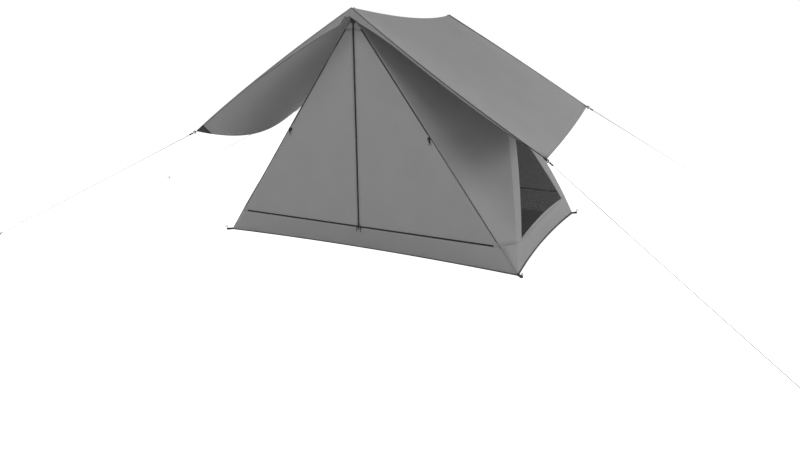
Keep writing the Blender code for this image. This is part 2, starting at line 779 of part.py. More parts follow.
def apex_tab(end):
    """Reinforcement over the door zip: a gable and a webbing tab folded over the ridge."""
    base = DOOR_TOP + GAP
    tip = APEX_HEIGHT - APEX_GABLE_GAP
    triangle = [(-seam_x(base, SEAM_INSET), base), (seam_x(base, SEAM_INSET), base), (0.0, tip)]
    gable = outline([triangle], CLOTH, wall_plane(end))

    eye = spigot_point(end, APEX_HEIGHT)
    next_y = HALF_DEPTH * (1 - 2 / RIDGE_STEPS)
    slope = (APEX_HEIGHT - ridge_height(next_y)) / (HALF_DEPTH - next_y)
    along = Vector((0.0, end, slope)).normalized()
    centre_height = APEX_HEIGHT - slope * (HALF_DEPTH - abs(eye.y)) + CLOTH / 2 + GAP + WEBBING
    centre = Vector((0.0, eye.y, centre_height))
    half_width = APEX_TAB_HALF_WIDTH
    inner = APEX_TAB_INNER
    outer = HALF_DEPTH - abs(eye.y) + APEX_TAB_OVERHANG
    loop = [(-half_width, -inner), (half_width, -inner), (half_width, outer), (-half_width, outer)]
    hole_radius = SPIGOT_RADIUS + EYE_CLEARANCE
    hole = []
    for step in range(16):
        angle = 2 * math.pi * step / 16
        hole.append((hole_radius * math.cos(angle), hole_radius * math.sin(angle)))
    top = outline([loop, hole], WEBBING, frame_at(centre, (-end, 0.0, 0.0), along))

    fold_foot = APEX_HEIGHT - APEX_FOLD_DROP
    fold_top = centre_height + slope * outer
    strip = [
        (-half_width, fold_foot), (half_width, fold_foot),
        (half_width, fold_top), (-half_width, fold_top),
    ]
    face = (0.0, (HALF_DEPTH + CLOTH / 2 + GAP + WEBBING / 2) * end, 0.0)
    fold = outline([strip], WEBBING, frame_at(face, (-end, 0.0, 0.0), (0.0, 0.0, 1.0)))
    # Box of stitches that holds the fold to the gable
    box_half = half_width / 2
    box_foot = fold_foot + BOX_STITCH_FOOT
    box_top = box_foot + BOX_STITCH_HEIGHT
    box = [(-box_half, box_foot), (box_half, box_foot), (box_half, box_top), (-box_half, box_top)]
    between = (0.0, (HALF_DEPTH + CLOTH * 0.6) * end, 0.0)
    stitches = outline([box], CLOTH * 1.2, frame_at(between, (-end, 0.0, 0.0), (0.0, 0.0, 1.0)))
    return fuse(gable, stitches, fold, top)


# Fly sheet. u runs along the ridge from the front edge, v runs down from the ridge
FLY_STEPS = 14


def wing_sag_shape(side, u):
    skew = WING_SKEW[side]
    peak = 1 / (1 + skew)
    return u * (1 - u) ** skew / (peak * (1 - peak) ** skew)


def fly_point(side, u, v):
    """Middle of the cloth. The ridge and the free edges hang in shallow curves."""
    ridge = Vector((0.0, FLY_APEX_Y * (2 * u - 1), FLY_APEX_HEIGHT - FLY_RIDGE_SAG * 4 * u * (1 - u)))
    edge = FLY_FRONT_CORNER.lerp(FLY_REAR_CORNER, u)
    sag = wing_sag_shape(side, u) * v ** 3
    point = ridge.lerp(edge, v)
    point.x -= WING_DRAW_IN[side] * sag
    point.z -= WING_DROP[side] * sag
    bow = 4 * v * (1 - v)
    point.y -= FLY_FRONT_BOW * bow * (1 - u) ** 4
    point.y += FLY_REAR_BOW * bow * u ** 4
    return Vector((point.x * (-1 if side == "left" else 1), point.y, point.z))


def brim_depth(t):
    """Hang of the brim, t of the way from the ridge to the corner. It ends at the tab."""
    taper = 1 - min(t / BRIM_END, 1) ** 8
    return (BRIM_DEPTH_EDGE + (BRIM_DEPTH_APEX - BRIM_DEPTH_EDGE) * (1 - t) ** 3) * taper


def fly_sheet():
    """Both wings in one sheet over the ridge, with a brim hanging at each end."""
    drops = [step / 9 for step in range(9)] + [BRIM_END, 1.0]
    places = [("left", v) for v in reversed(drops[1:])] + [("right", v) for v in drops]
    rows = []
    for name, v in places:
        rows.append([fly_point(name, step / FLY_STEPS, v) for step in range(FLY_STEPS + 1)])
    patches = [rows]
    for end, column in ((-1, 0), (1, FLY_STEPS)):
        top = [row[column] for row in rows]
        foot = []
        for (_, t), point in zip(places, top):
            lean = BRIM_LEAN * (1 - t)
            hang = Vector((0.0, end * math.sin(lean), -math.cos(lean)))
            foot.append(point + hang * brim_depth(t))
        patches.append([top, foot])
    return sheet(patches, CLOTH)


# Fly corners, guylines and pegs. Each corner has a frame along its guyline
TAB_HALF_WIDTH = 0.009
PATCH_LEG = 0.062
RING_MAJOR = 0.0075
RING_MINOR = 0.0019
RING_CENTRE = 0.0155
TENSIONER_PLACE = 0.042
TENSIONER_HALF = 0.012
TENSIONER_BORE = CORD_RADIUS + 0.00055
TENSIONER_RADIUS = 0.0065
TENSIONER_WAIST = 0.0038
TENSIONER_CHAMFER = 0.002
LINE_TO_PEG = 0.0006
STRAP_HALF_WIDTH = 0.0075
STRAP_CLEARANCE = 0.0012


def peg_place(end, side):
    peg = PEG_FRONT if end < 0 else PEG_REAR
    return Vector((peg.x * side, peg.y, 0.0))


def fly_corner(end, side):
    """Middle of the webbing under a corner of the fly, the way up and along both edges."""
    name = "left" if side < 0 else "right"
    u = 0.0 if end < 0 else 1.0
    tip = fly_point(name, u, 1.0)
    beside = fly_point(name, abs(u - 1 / FLY_STEPS), 1.0) - tip
    above = fly_point(name, u, BRIM_END) - tip
    up = beside.cross(above).normalized()
    up *= 1 if up.z > 0 else -1
    return tip - up * (CLOTH / 2 + GAP * 3 + WEBBING / 2), beside.normalized(), above.normalized()


def guy_frame(end, side):
    """Start of a guyline's axis, its direction to the peg and the direction across it."""
    corner, _, _ = fly_corner(end, side)
    along = (peg_place(end, side) + Vector((0.0, 0.0, PEG_TIE_HEIGHT)) - corner).normalized()
    across = along.cross(Vector((0.0, 0.0, 1.0))).normalized()
    return corner, along, across


def corner_tab(end, side):
    """Three-cornered reinforcement sewn under the corner of the fly, with its ring."""
    corner, along, across = guy_frame(end, side)
    _, beside, above = fly_corner(end, side)
    over = (beside - above).normalized()
    over *= 1 if over.dot(across) > 0 else -1
    legs = sorted((beside, above), key=lambda way: way.dot(across))
    tip = corner + along * (RING_CENTRE - RING_MAJOR + RING_MINOR * 0.6)
    rows = [[corner + way * PATCH_LEG for way in legs]]
    for point, direction in ((corner, over), (tip, across)):
        rows.append([point - direction * TAB_HALF_WIDTH, point + direction * TAB_HALF_WIDTH])
    ring = torus(corner + along * RING_CENTRE, across, RING_MAJOR, RING_MINOR, 24, 8)
    return fuse(sheet([rows], WEBBING), ring)


def guy_route(end, side):
    """Taut line from the ring to the peg, with the slight sag of its own weight."""
    corner, along, _ = guy_frame(end, side)
    start = corner + along * (RING_CENTRE + RING_MAJOR + RING_MINOR + GAP)
    finish_gap = PEG_RADIUS + GAP + LINE_TO_PEG
    finish_point = peg_place(end, side) + Vector((0.0, 0.0, PEG_TIE_HEIGHT)) - along * finish_gap
    steps = 40
    route = []
    for step in range(steps + 1):
        t = step / steps
        point = start.lerp(finish_point, t)
        point.z -= CORD_SAG * 4 * t * (1 - t)
        route.append(point)
    return route


def tensioner_frame(end, side):
    """Middle of the tensioner at rest and the direction of the line there."""
    route = guy_route(end, side)
    length = sum((b - a).length for a, b in zip(route, route[1:]))
    line_start = RING_CENTRE + RING_MAJOR + RING_MINOR
    t = (TENSIONER_PLACE - line_start) / length
    chord = route[-1] - route[0]
    middle = route[0].lerp(route[-1], t) - Vector((0.0, 0.0, CORD_SAG * 4 * t * (1 - t)))
    tangent = chord - Vector((0.0, 0.0, CORD_SAG * 4 * (1 - 2 * t)))
    return middle, tangent.normalized()


def tensioner(end, side):
    """Waisted runner that grips the line, bored through from end to end."""
    middle, along = tensioner_frame(end, side)
    turn = along.to_track_quat("Z", "Y").to_matrix().to_4x4()
    half = TENSIONER_HALF
    shoulder = half - TENSIONER_CHAMFER
    rim = TENSIONER_RADIUS * 0.8
    loop = [
        (TENSIONER_BORE, half), (rim, half), (TENSIONER_RADIUS, shoulder),
        (TENSIONER_WAIST, half / 4), (TENSIONER_WAIST, -half / 4),
        (TENSIONER_RADIUS, -shoulder), (rim, -half), (TENSIONER_BORE, -half),
    ]
    return turned(loop, 12, Matrix.Translation(middle) @ turn, closed=True)


def peg(place, away):
    """Wire peg driven in to its hook. The shank stops at the ground."""
    bend_height = PEG_HEIGHT - PEG_HOOK_RADIUS
    route = [place, place + Vector((0.0, 0.0, bend_height * 0.5))]
    for step in range(9):
        angle = math.pi * step / 8
        out = PEG_HOOK_RADIUS * (1 - math.cos(angle))
        rise = PEG_HOOK_RADIUS * math.sin(angle)
        route.append(place + away * out + Vector((0.0, 0.0, bend_height + rise)))
    route.append(route[-1] - Vector((0.0, 0.0, PEG_POINT)))
    return tube(route, PEG_RADIUS, 2)


def knee_strap(side):
    """Webbing sewn to the knee of the side wall, which the fly holds out."""
    name = "left" if side < 0 else "right"
    knee = Vector((KNEE.x * side, 0.0, KNEE.z))
    tries = [(0.4 + 0.01 * a, 0.5 + 0.01 * b) for a in range(21) for b in range(36)]
    u, v = min(tries, key=lambda at: (fly_point(name, *at) - knee).length)
    target = fly_point(name, u, v)
    direction = (target - knee).normalized()
    start = knee - direction * CLOTH / 6
    stop = target - direction * (CLOTH / 2 + STRAP_CLEARANCE)
    across = Vector((0.0, 1.0, 0.0))
    across = (across - direction * across.dot(direction)).normalized()
    half = STRAP_HALF_WIDTH
    length = (stop - start).length
    loop = [(0.0, -half), (length, -half), (length, half), (0.0, half)]
    return outline([loop], WEBBING, frame_at(start, direction, across))


# Assembly, from the ground up
finish(floor_sheet(), "floor_sheet", "floor_cloth")

for end_name, end in ENDS:
    finish(end_band(end), f"base_band_{end_name}", "wall_cloth")
    finish(base_zip(end), f"base_zip_{end_name}", "zip_tape")
    finish(pole(end), f"pole_{end_name}", "pole_tube")
    finish(apex_tab(end), f"apex_tab_{end_name}", "webbing")

for side_name, side in SIDES:
    finish(side_band(side), f"base_band_{side_name}", "wall_cloth")
    finish(side_wall(side), f"side_wall_{side_name}", "wall_cloth")
    finish(window_mesh(side), f"window_mesh_{side_name}", "netting")

fly = finish(fly_sheet(), "fly_sheet", "fly_cloth")
for end_name, end in ENDS:
    hole = spigot_hole(end, end_name)
    for cloth in (fly, bpy.data.objects["side_wall_left"], bpy.data.objects["side_wall_right"]):
        boolean(cloth, hole, "DIFFERENCE")

QUARTERS = [(end_name, end, side_name, side) for end_name, end in ENDS for side_name, side in SIDES]

for end_name, end, side_name, side in QUARTERS:
    place = f"{end_name}_{side_name}"
    # The door walls are drawn as seen from outside, so behind the tent right is at -X
    half = side * -end
    hinge = bpy.data.objects.new(f"door_hinge_{place}", None)
    hinge.location = placed(CORNER, side, end)
    tent.objects.link(hinge)
    for make, label, look in ((door, "door", "wall_cloth"), (door_zip, "door_zip", "zip_tape")):
        panel = finish(make(end, half), f"{label}_{place}", look)
        panel.parent = hinge
        panel.matrix_parent_inverse = Matrix.Translation(-hinge.location)
    finish(toggle(end, side), f"toggle_{place}", "moulded_black", toggle_pivot(end, side))
    middle, _ = tensioner_frame(end, side)
    finish(tensioner(end, side), f"tensioner_{place}", "moulded_black", middle)
    finish(corner_tab(end, side), f"fly_corner_tab_{place}", "webbing")
    finish(tube(guy_route(end, side), CORD_RADIUS, 2), f"guyline_{place}", "cord")
    outward = loop_direction(end, side)
    finish(peg(corner_peg_place(end, side), outward), f"corner_peg_{place}", "steel_wire")
    _, along, _ = guy_frame(end, side)
    outward = Vector((along.x, along.y, 0.0)).normalized()
    finish(peg(peg_place(end, side), outward), f"guyline_peg_{place}", "steel_wire")

for end_name, end in ENDS:
    stops = [
        ("upright", (0.0, SLIDER_FOOT_HEIGHT), True),
        ("left", (-SLIDER_FOOT_OFFSET, BAND_HEIGHT), False),
        ("right", (SLIDER_FOOT_OFFSET, BAND_HEIGHT), False),
    ]
    for stop_name, place, upright in stops:
        pivot = Vector((place[0], (HALF_DEPTH + PIVOT_OUT) * end, place[1]))
        finish(slider(end, place, upright), f"slider_{end_name}_{stop_name}", "slider_metal", pivot)
        finish(pull_tab(end, pivot), f"pull_tab_{end_name}_{stop_name}", "moulded_black", pivot)
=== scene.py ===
import json
from math import cos, exp, hypot, pi, radians, sin

import bmesh
import bpy
from mathutils import Matrix, Vector, noise


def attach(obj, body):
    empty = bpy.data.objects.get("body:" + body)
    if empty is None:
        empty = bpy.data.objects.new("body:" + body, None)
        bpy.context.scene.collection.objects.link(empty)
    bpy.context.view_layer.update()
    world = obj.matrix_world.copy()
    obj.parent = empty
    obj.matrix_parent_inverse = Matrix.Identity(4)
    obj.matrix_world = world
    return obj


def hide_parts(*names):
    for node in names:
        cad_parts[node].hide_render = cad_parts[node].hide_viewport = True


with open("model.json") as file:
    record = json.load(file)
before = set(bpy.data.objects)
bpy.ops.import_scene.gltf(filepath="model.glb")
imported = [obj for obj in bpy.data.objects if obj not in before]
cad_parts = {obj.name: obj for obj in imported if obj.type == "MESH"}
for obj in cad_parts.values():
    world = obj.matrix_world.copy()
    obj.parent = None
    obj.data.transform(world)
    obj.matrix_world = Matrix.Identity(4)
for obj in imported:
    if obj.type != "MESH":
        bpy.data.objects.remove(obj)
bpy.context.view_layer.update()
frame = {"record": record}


# Camera: in front of the tent and to its right, a little lower than the ridge and tipped
# down. The picture is level but for half a degree, and it isn't shifted.
YAW = radians(26.79)
PITCH = radians(17.74)
ROLL = radians(-0.45)
EYE = Vector((2.05, -4.203, 1.403))
LENS = 28.3

scene = bpy.context.scene
camera_data = bpy.data.cameras.new("view")
camera_data.sensor_width = 36.0
camera_data.lens = LENS
camera_data.clip_end = 60.0
camera = bpy.data.objects.new("view", camera_data)
scene.collection.objects.link(camera)
forward = Vector((-sin(YAW) * cos(PITCH), cos(YAW) * cos(PITCH), -sin(PITCH)))
level = Vector((cos(YAW), sin(YAW), 0.0))
upright = level.cross(forward)
right = level * cos(ROLL) + upright * sin(ROLL)
up = upright * cos(ROLL) - level * sin(ROLL)
camera.matrix_world = Matrix.Translation(EYE) @ Matrix((right, up, -forward)).transposed().to_4x4()
scene.camera = camera


# Guylines: braided polyester cord of 3 mm, looped round the ring of each fly corner and
# tied round a wire peg. Each is held taut and sags by 4 mm in its middle.
ENDS = (("front", -1), ("rear", 1))
SIDES = (("left", -1), ("right", 1))
QUARTERS = [
    (f"{end_name}_{side_name}", end, side_name, side) for end_name, end in ENDS for side_name, side in SIDES]
ACROSS = Vector((1.0, 0.0, 0.0))
BACK = Vector((0.0, 1.0, 0.0))
UP = Vector((0.0, 0.0, 1.0))
CORD_RADIUS = 0.0015
CORD_SAG = 0.004
ROUTE_STEPS = 36
GUY_START = {
    "front_left": Vector((-1.2688, -0.8724, 0.7273)),
    "front_right": Vector((1.2685, -0.8712, 0.7271)),
    "rear_left": Vector((-1.1810, 0.6654, 0.8469)),
    "rear_right": Vector((1.1810, 0.6654, 0.8469)),
}
GUY_END = {
    "front_left": Vector((-2.5473, -1.5985, 0.0135)),
    "front_right": Vector((2.5473, -1.5985, 0.0135)),
    "rear_left": Vector((-2.8370, 0.3106, 0.0135)),
    "rear_right": Vector((2.8370, 0.3106, 0.0135)),
}
# The line starts beside the ring's wire and ends beside the peg
RING_WIRE_BACK = 0.0054
RING_EYE_RADIUS = 0.0046
PEG_AXIS_ON = 0.0034
PEG_EYE_RADIUS = 0.0042
EYE_STEPS = 20
HITCH_START = 0.003
HITCH_LENGTH = 0.012
HITCH_TURNS = 4
HITCH_RADIUS = 0.0028
HITCH_STEPS = 48
KNOT_CORD_RADIUS = 0.0012


def spread(start, stop, count):
    """Even steps from one number or point to another, both included."""
    return [start + (stop - start) * step / count for step in range(count + 1)]


def arc(centre, first, second, radius, steps, start=0.0, turn=2 * pi):
    """Points round a centre, from the direction first towards second."""
    angles = spread(start, start + turn, steps)
    return [centre + (first * cos(a) + second * sin(a)) * radius for a in angles]


def srgb(code):
    """Linear colour of a hex code."""
    values = [int(code[i:i + 2], 16) / 255 for i in (1, 3, 5)]
    linear = [v / 12.92 if v <= 0.04045 else ((v + 0.055) / 1.055) ** 2.4 for v in values]
    return (*linear, 1.0)


def new_material(name, colour, roughness, metallic=0.0):
    made = bpy.data.materials.new(name)
    made.use_nodes = True
    shader = made.node_tree.nodes["Principled BSDF"]
    shader.inputs["Base Color"].default_value = srgb(colour)
    shader.inputs["Roughness"].default_value = roughness
    shader.inputs["Metallic"].default_value = metallic
    return made, made.node_tree, shader


def add(tree, kind, out=0, to=None, **inputs):
    """Add a node and give back one of its outputs, linked on where a socket is named in to.

    The rest are its settings and inputs: _2 is input 2, and an output as a value is linked.
    """
    node = tree.nodes.new("ShaderNode" + kind)
    for key, value in inputs.items():
        if hasattr(node, key):
            setattr(node, key, value)
            continue
        socket = node.inputs[int(key[1:])] if key[0] == "_" else node.inputs[key.replace("_", " ")]
        if isinstance(value, bpy.types.NodeSocket):
            tree.links.new(value, socket)
        else:
            socket.default_value = value
    if to is not None:
        tree.links.new(node.outputs[out], to)
    return node.outputs[out]


def vary(tree, shader, share, dark, light, rough=None, bump=None, **settings):
    """Vary a finish by a share from 0 to 1: its colour, and where given its roughness and relief."""
    add(tree, "Mix", 2, shader.inputs["Base Color"], data_type="RGBA", _0=share, _6=srgb(dark),
        _7=srgb(light))
    if rough:
        add(tree, "MapRange", to=shader.inputs["Roughness"], Value=share, To_Min=rough[0], To_Max=rough[1])
    if bump:
        add(tree, "Bump", to=shader.inputs["Normal"], Strength=bump[0], Distance=bump[1], Height=share,
            **settings)


def finished(made, name, look, body="tent"):
    """Name a made piece and set its finish and the body that it rides on."""
    made.name = name
    made.data.materials.append(look)
    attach(made, body)
    return made


def piece_from(work, name, look, body):
    """Piece from faces that were made in code."""
    bmesh.ops.recalc_face_normals(work, faces=work.faces)
    mesh = bpy.data.meshes.new(name)
    work.to_mesh(mesh)
    work.free()
    made = bpy.data.objects.new(name, mesh)
    scene.collection.objects.link(made)
    return finished(made, name, look, body)


def sweep(work, points, radius, sides):
    """Round cord along points: its UV is the turn round it and the metres along it."""
    layer = work.loops.layers.uv.verify()
    rings = []
    travelled = [0.0]
    side = None
    for index, point in enumerate(points):
        before = points[max(index - 1, 0)]
        after = points[min(index + 1, len(points) - 1)]
        if index:
            travelled.append(travelled[-1] + (point - before).length)
        along = (after - before).normalized()
        side = side or along.orthogonal()
        side = (side - along * side.dot(along)).normalized()
        other = along.cross(side)
        rings.append([work.verts.new(place) for place in arc(point, side, other, radius, sides)[:-1]])
    for index in range(len(points) - 1):
        for step in range(sides):
            places = ((index, step), (index, step + 1), (index + 1, step + 1), (index + 1, step))
            face = work.faces.new([rings[a][b % sides] for a, b in places])
            face.smooth = True
            for loop, (a, b) in zip(face.loops, places):
                loop[layer].uv = (b / sides, travelled[a])
    work.faces.new(list(reversed(rings[0])))
    work.faces.new(rings[-1])


def corded(name, routes, radius, look, sides=6):
    """Piece made of one or more lengths of cord."""
    work = bmesh.new()
    for route in routes:
        sweep(work, route, radius, sides)
    return piece_from(work, name, look, "tent")


# Polyester, braided from 16 dark strands: matt, and their crossings make a fine chequer of
# light and shade. A strand shows for 1.4 mm, drawn here at 3 mm.
STRAND = 0.003
braid, tree, shader = new_material("braided_polyester", "#2a2a2a", 0.75)
shader.inputs["Sheen Weight"].default_value = 0.1
place = add(tree, "UVMap")
split = add(tree, "SeparateXYZ", Vector=place).node.outputs
turn = add(tree, "Math", operation="MULTIPLY", _0=split[0], _1=4.0)
run = add(tree, "Math", operation="MULTIPLY", _0=split[1], _1=1 / STRAND)
one_way = add(tree, "Math", operation="ADD", _0=run, _1=turn)
other_way = add(tree, "Math", operation="SUBTRACT", _0=run, _1=turn)
over = add(tree, "Math", operation="PINGPONG", _0=one_way, _1=0.5)
under = add(tree, "Math", operation="PINGPONG", _0=other_way, _1=0.5)
strands = add(tree, "Math", operation="MULTIPLY", _0=over, _1=under)
share = add(tree, "MapRange", Value=strands, From_Max=0.25)
vary(tree, shader, share, "#1c1c1c", "#343434")
add(tree, "Bump", to=shader.inputs["Normal"], Strength=0.6, Distance=0.0003, Height=strands)

for quarter, end, side_name, side in QUARTERS:
    start = GUY_START[quarter]
    stop = GUY_END[quarter]
    along = (stop - start).normalized()
    across = along.cross(UP).normalized()
    lift = across.cross(along)
    route = [start.lerp(stop, t) - UP * CORD_SAG * 4 * t * (1 - t) for t in spread(0, 1, ROUTE_STEPS)]
    line = corded(f"guyline_cord_{quarter}", [route], CORD_RADIUS, braid, sides=8)
    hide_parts(f"guyline_{quarter}")

    ring_eye = arc(start - along * RING_WIRE_BACK, along, across, RING_EYE_RADIUS, EYE_STEPS)
    peg_eye = arc(stop + along * PEG_AXIS_ON, ACROSS, BACK, PEG_EYE_RADIUS, EYE_STEPS)
    turns = arc(stop, across, lift, HITCH_RADIUS, HITCH_STEPS, turn=2 * pi * HITCH_TURNS)
    backward = spread(HITCH_START, HITCH_START + HITCH_LENGTH, HITCH_STEPS)
    hitch = [point - along * back for point, back in zip(turns, backward)]
    eye = corded(f"ring_loop_{quarter}", [ring_eye], KNOT_CORD_RADIUS, braid)
    foot = corded(f"peg_hitch_{quarter}", [peg_eye, hitch], KNOT_CORD_RADIUS, braid)


# Floor sheet: woven polyester with a thick coating, cut with curved edges and laid under
# the tent. The webbing loops for the corner pegs are sewn to it.
HALF_WIDTH = 1.1
HALF_DEPTH = 0.75
HEM_CURVE_SIDE = 0.036
HEM_CURVE_END = 0.05
FLOOR_EDGE = 0.0008
FLOOR_UNEVEN = 0.0002
FLOOR_COLUMNS = 72
FLOOR_ROWS = 48
CLOTH = 0.0006
CREASE = radians(18)
SEWN_WITHIN = 0.00004


def end_hem(x):
    return HALF_DEPTH - HEM_CURVE_END * (1 - (x / HALF_WIDTH) ** 2)


def side_hem(y):
    return HALF_WIDTH - HEM_CURVE_SIDE * (1 - (y / HALF_DEPTH) ** 2)


def settle(obj):
    """Apply the modifiers."""
    bpy.ops.object.select_all(action="DESELECT")
    bpy.context.view_layer.objects.active = obj
    obj.select_set(True)
    for modifier in list(obj.modifiers):
        bpy.ops.object.modifier_apply(modifier=modifier.name)
    obj.select_set(False)


def cloth_object(name, patches, thickness, look, body="tent"):
    """Sheet on rows of (point, uv), sewn where patches meet. The UV is in metres."""
    work = bmesh.new()
    layer = work.loops.layers.uv.verify()
    for rows in patches:
        grid = [[work.verts.new(point) for point, _ in row] for row in rows]
        for i in range(len(rows) - 1):
            for j in range(len(rows[0]) - 1):
                corners = ((i, j), (i + 1, j), (i + 1, j + 1), (i, j + 1))
                face = work.faces.new([grid[a][b] for a, b in corners])
                face.smooth = True
                for loop, (a, b) in zip(face.loops, corners):
                    loop[layer].uv = rows[a][b][1]
    bmesh.ops.remove_doubles(work, verts=work.verts, dist=SEWN_WITHIN)
    made = piece_from(work, name, look, body)
    made.data.set_sharp_from_angle(angle=CREASE)
    if thickness:
        solid = made.modifiers.new("thickness", "SOLIDIFY")
        solid.thickness = thickness
        solid.offset = 0.0
        settle(made)
    return made


# Rows of stitches lie at set distances along one axis of the UV: (axis, distance). A stitch
# is 3 mm long and its thread 0.4 mm thick, drawn at 6 mm and 0.9 mm.
STITCH = 0.006
STITCH_HALF = 0.00045
THREAD_SPACING = 0.00056


def cloth_material(name, dark, light, thread, roughness, rows=(), through=0.0):
    """Woven cloth: threads, slubs, faintly uneven dye, rows of stitches and light let through."""
    made, tree, shader = new_material(name, light, roughness)
    shader.inputs["Sheen Weight"].default_value = 0.08
    shader.inputs["Sheen Roughness"].default_value = 0.5
    shader.inputs["Specular IOR Level"].default_value = 0.25
    place = add(tree, "UVMap")
    cloud = add(tree, "TexNoise", Vector=place, Scale=6.0, Detail=4.0, Roughness=0.6)
    slubs = []
    for scale in ((40.0, 640.0, 1.0), (640.0, 40.0, 1.0)):
        stretched = add(tree, "Mapping", Vector=place, Scale=scale)
        slubs.append(add(tree, "TexNoise", Vector=stretched, Scale=1.0, Detail=1.0))
    yarn = add(tree, "Math", operation="ADD", _0=slubs[0], _1=slubs[1])
    both = add(tree, "Math", operation="ADD", _0=yarn, _1=cloud)
    share = add(tree, "MapRange", Value=both, From_Min=1.1, From_Max=1.9)
    colour = add(tree, "Mix", 2, data_type="RGBA", _0=share, _6=srgb(dark), _7=srgb(light))
    split = add(tree, "SeparateXYZ", Vector=place).node.outputs
    warp = add(tree, "TexWave", 1, bands_direction="X", Vector=place, Scale=0.314 / THREAD_SPACING)
    weft = add(tree, "TexWave", 1, bands_direction="Y", Vector=place, Scale=0.314 / THREAD_SPACING)
    weave = add(tree, "Math", operation="MULTIPLY", _0=warp, _1=weft)
    threads = add(tree, "Bump", Strength=0.25, Distance=0.0001, Height=weave)
    thick = add(tree, "Bump", Strength=0.3, Distance=0.0004, Height=yarn, Normal=threads)
    normal = add(tree, "Bump", Strength=0.12, Distance=0.004, Height=cloud, Normal=thick)
    for axis, distance in rows:
        beside = add(tree, "Math", operation="COMPARE", _0=split[axis], _1=distance, _2=STITCH_HALF)
        run = add(tree, "Math", operation="PINGPONG", _0=split[1 - axis], _1=STITCH / 2)
        sewn = add(tree, "Math", operation="GREATER_THAN", _0=run, _1=STITCH / 8)
        stitch = add(tree, "Math", operation="MULTIPLY", _0=beside, _1=sewn)
        colour = add(tree, "Mix", 2, data_type="RGBA", _0=stitch, _6=colour, _7=srgb(thread))
        normal = add(tree, "Bump", Strength=0.5, Distance=0.0005, Height=stitch, Normal=normal)
    tree.links.new(colour, shader.inputs["Base Color"])
    tree.links.new(normal, shader.inputs["Normal"])
    if through:
        passed = add(tree, "BsdfTranslucent", Color=(0.8, 0.8, 0.8, 1.0))
        surface = tree.nodes["Material Output"].inputs["Surface"]
        add(tree, "MixShader", to=surface, _0=through, _1=shader.outputs[0], _2=passed)
    return made


# Light let through by each face of a thin cloth
THIN = 0.28

# Polyester with a thick polyurethane coat: dark, a little smoother than the walls
floor_cloth = cloth_material("coated_polyester", "#282828", "#333333", "#1c1c1c", 0.55)


def floor_point(x_part, y_part):
    """Point of the floor sheet, whose sides are at -1 and 1 both ways, and its place in the cloth."""
    x = x_part * (side_hem(y_part * HALF_DEPTH) + FLOOR_EDGE)
    y = y_part * (end_hem(x_part * HALF_WIDTH) + FLOOR_EDGE)
    lift = FLOOR_UNEVEN * noise.noise(Vector((x * 9, y * 9, 3.0)))
    return (Vector((x, y, CLOTH + lift)), (x, y))


rows = [[floor_point(x, y) for x in spread(-1, 1, FLOOR_COLUMNS)] for y in spread(-1, 1, FLOOR_ROWS)]
floor = cloth_object("groundsheet", [rows], CLOTH, floor_cloth)
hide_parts("floor_sheet")


# Peg loops: polypropylene webbing of 9 mm, standing on edge round the corner pegs, with
# both of its ends sewn under the corner of the floor sheet.
LOOP_TURN = radians(40)
LOOP_EYE = 0.032
LOOP_RADIUS = 0.0082
LOOP_HALF_WIDTH = 0.0055
LOOP_ROOT = 0.010
LOOP_STEPS = 16
WEBBING = 0.001


def webbing_material(name, dark, light, edge_row):
    """Woven strap: its UV is the place across it, from -1 to 1, and the metres along it."""
    made, tree, shader = new_material(name, light, 0.8)
    shader.inputs["Sheen Weight"].default_value = 0.1
    place = add(tree, "UVMap")
    split = add(tree, "SeparateXYZ", Vector=place).node.outputs
    ribs = add(tree, "Math", operation="PINGPONG", _0=split[1], _1=WEBBING_RIB / 2)
    share = add(tree, "MapRange", Value=ribs, From_Max=WEBBING_RIB / 2)
    specks = add(tree, "TexNoise", Vector=place, Scale=60.0, Detail=3.0)
    mixed = add(tree, "Math", operation="MULTIPLY", _0=share, _1=specks)
    vary(tree, shader, mixed, dark, light)
    relief = add(tree, "Bump", Strength=0.5, Distance=0.0003, Height=share)
    across = add(tree, "Math", operation="ABSOLUTE", _0=split[0])
    beside = add(tree, "Math", operation="COMPARE", _0=across, _1=edge_row, _2=0.06)
    run = add(tree, "Math", operation="PINGPONG", _0=split[1], _1=STITCH / 4)
    sewn = add(tree, "Math", operation="GREATER_THAN", _0=run, _1=STITCH / 16)
    stitch = add(tree, "Math", operation="MULTIPLY", _0=beside, _1=sewn)
    add(tree, "Bump", to=shader.inputs["Normal"], Strength=0.5, Distance=0.0004, Height=stitch,
        Normal=relief)
    return made


# Polypropylene, woven: black, matt, ribbed across every 1.2 mm, drawn at 2 mm, with a row
# of stitches near each edge
WEBBING_RIB = 0.002
webbing = webbing_material("woven_polypropylene", "#121212", "#262626", 0.72)


def strap(name, route, across, half_width, thickness, look=webbing, body="tent"):
    """Flat strap along a route, its width lying in the direction across."""
    rows = []
    travelled = 0.0
    edge = across.normalized() * half_width
    for index, point in enumerate(route):
        if index:
            travelled += (point - route[index - 1]).length
        rows.append([(point - edge, (-1.0, travelled)), (point + edge, (1.0, travelled))])
    return cloth_object(name, [rows], thickness, look, body)


for quarter, end, side_name, side in QUARTERS:
    out = Vector((cos(LOOP_TURN) * side, sin(LOOP_TURN) * end, 0.0))
    over = UP.cross(out)
    corner = Vector((HALF_WIDTH * side, HALF_DEPTH * end, LOOP_HALF_WIDTH + CLOTH))
    ends = [corner - out * LOOP_ROOT + over * LOOP_RADIUS * share for share in (-0.5, 0.5)]
    bend = arc(corner + out * LOOP_EYE, out, over, LOOP_RADIUS, LOOP_STEPS, -pi / 2, pi)
    strap(f"peg_loop_{quarter}", [ends[0]] + bend + [ends[1]], UP, LOOP_HALF_WIDTH, WEBBING)


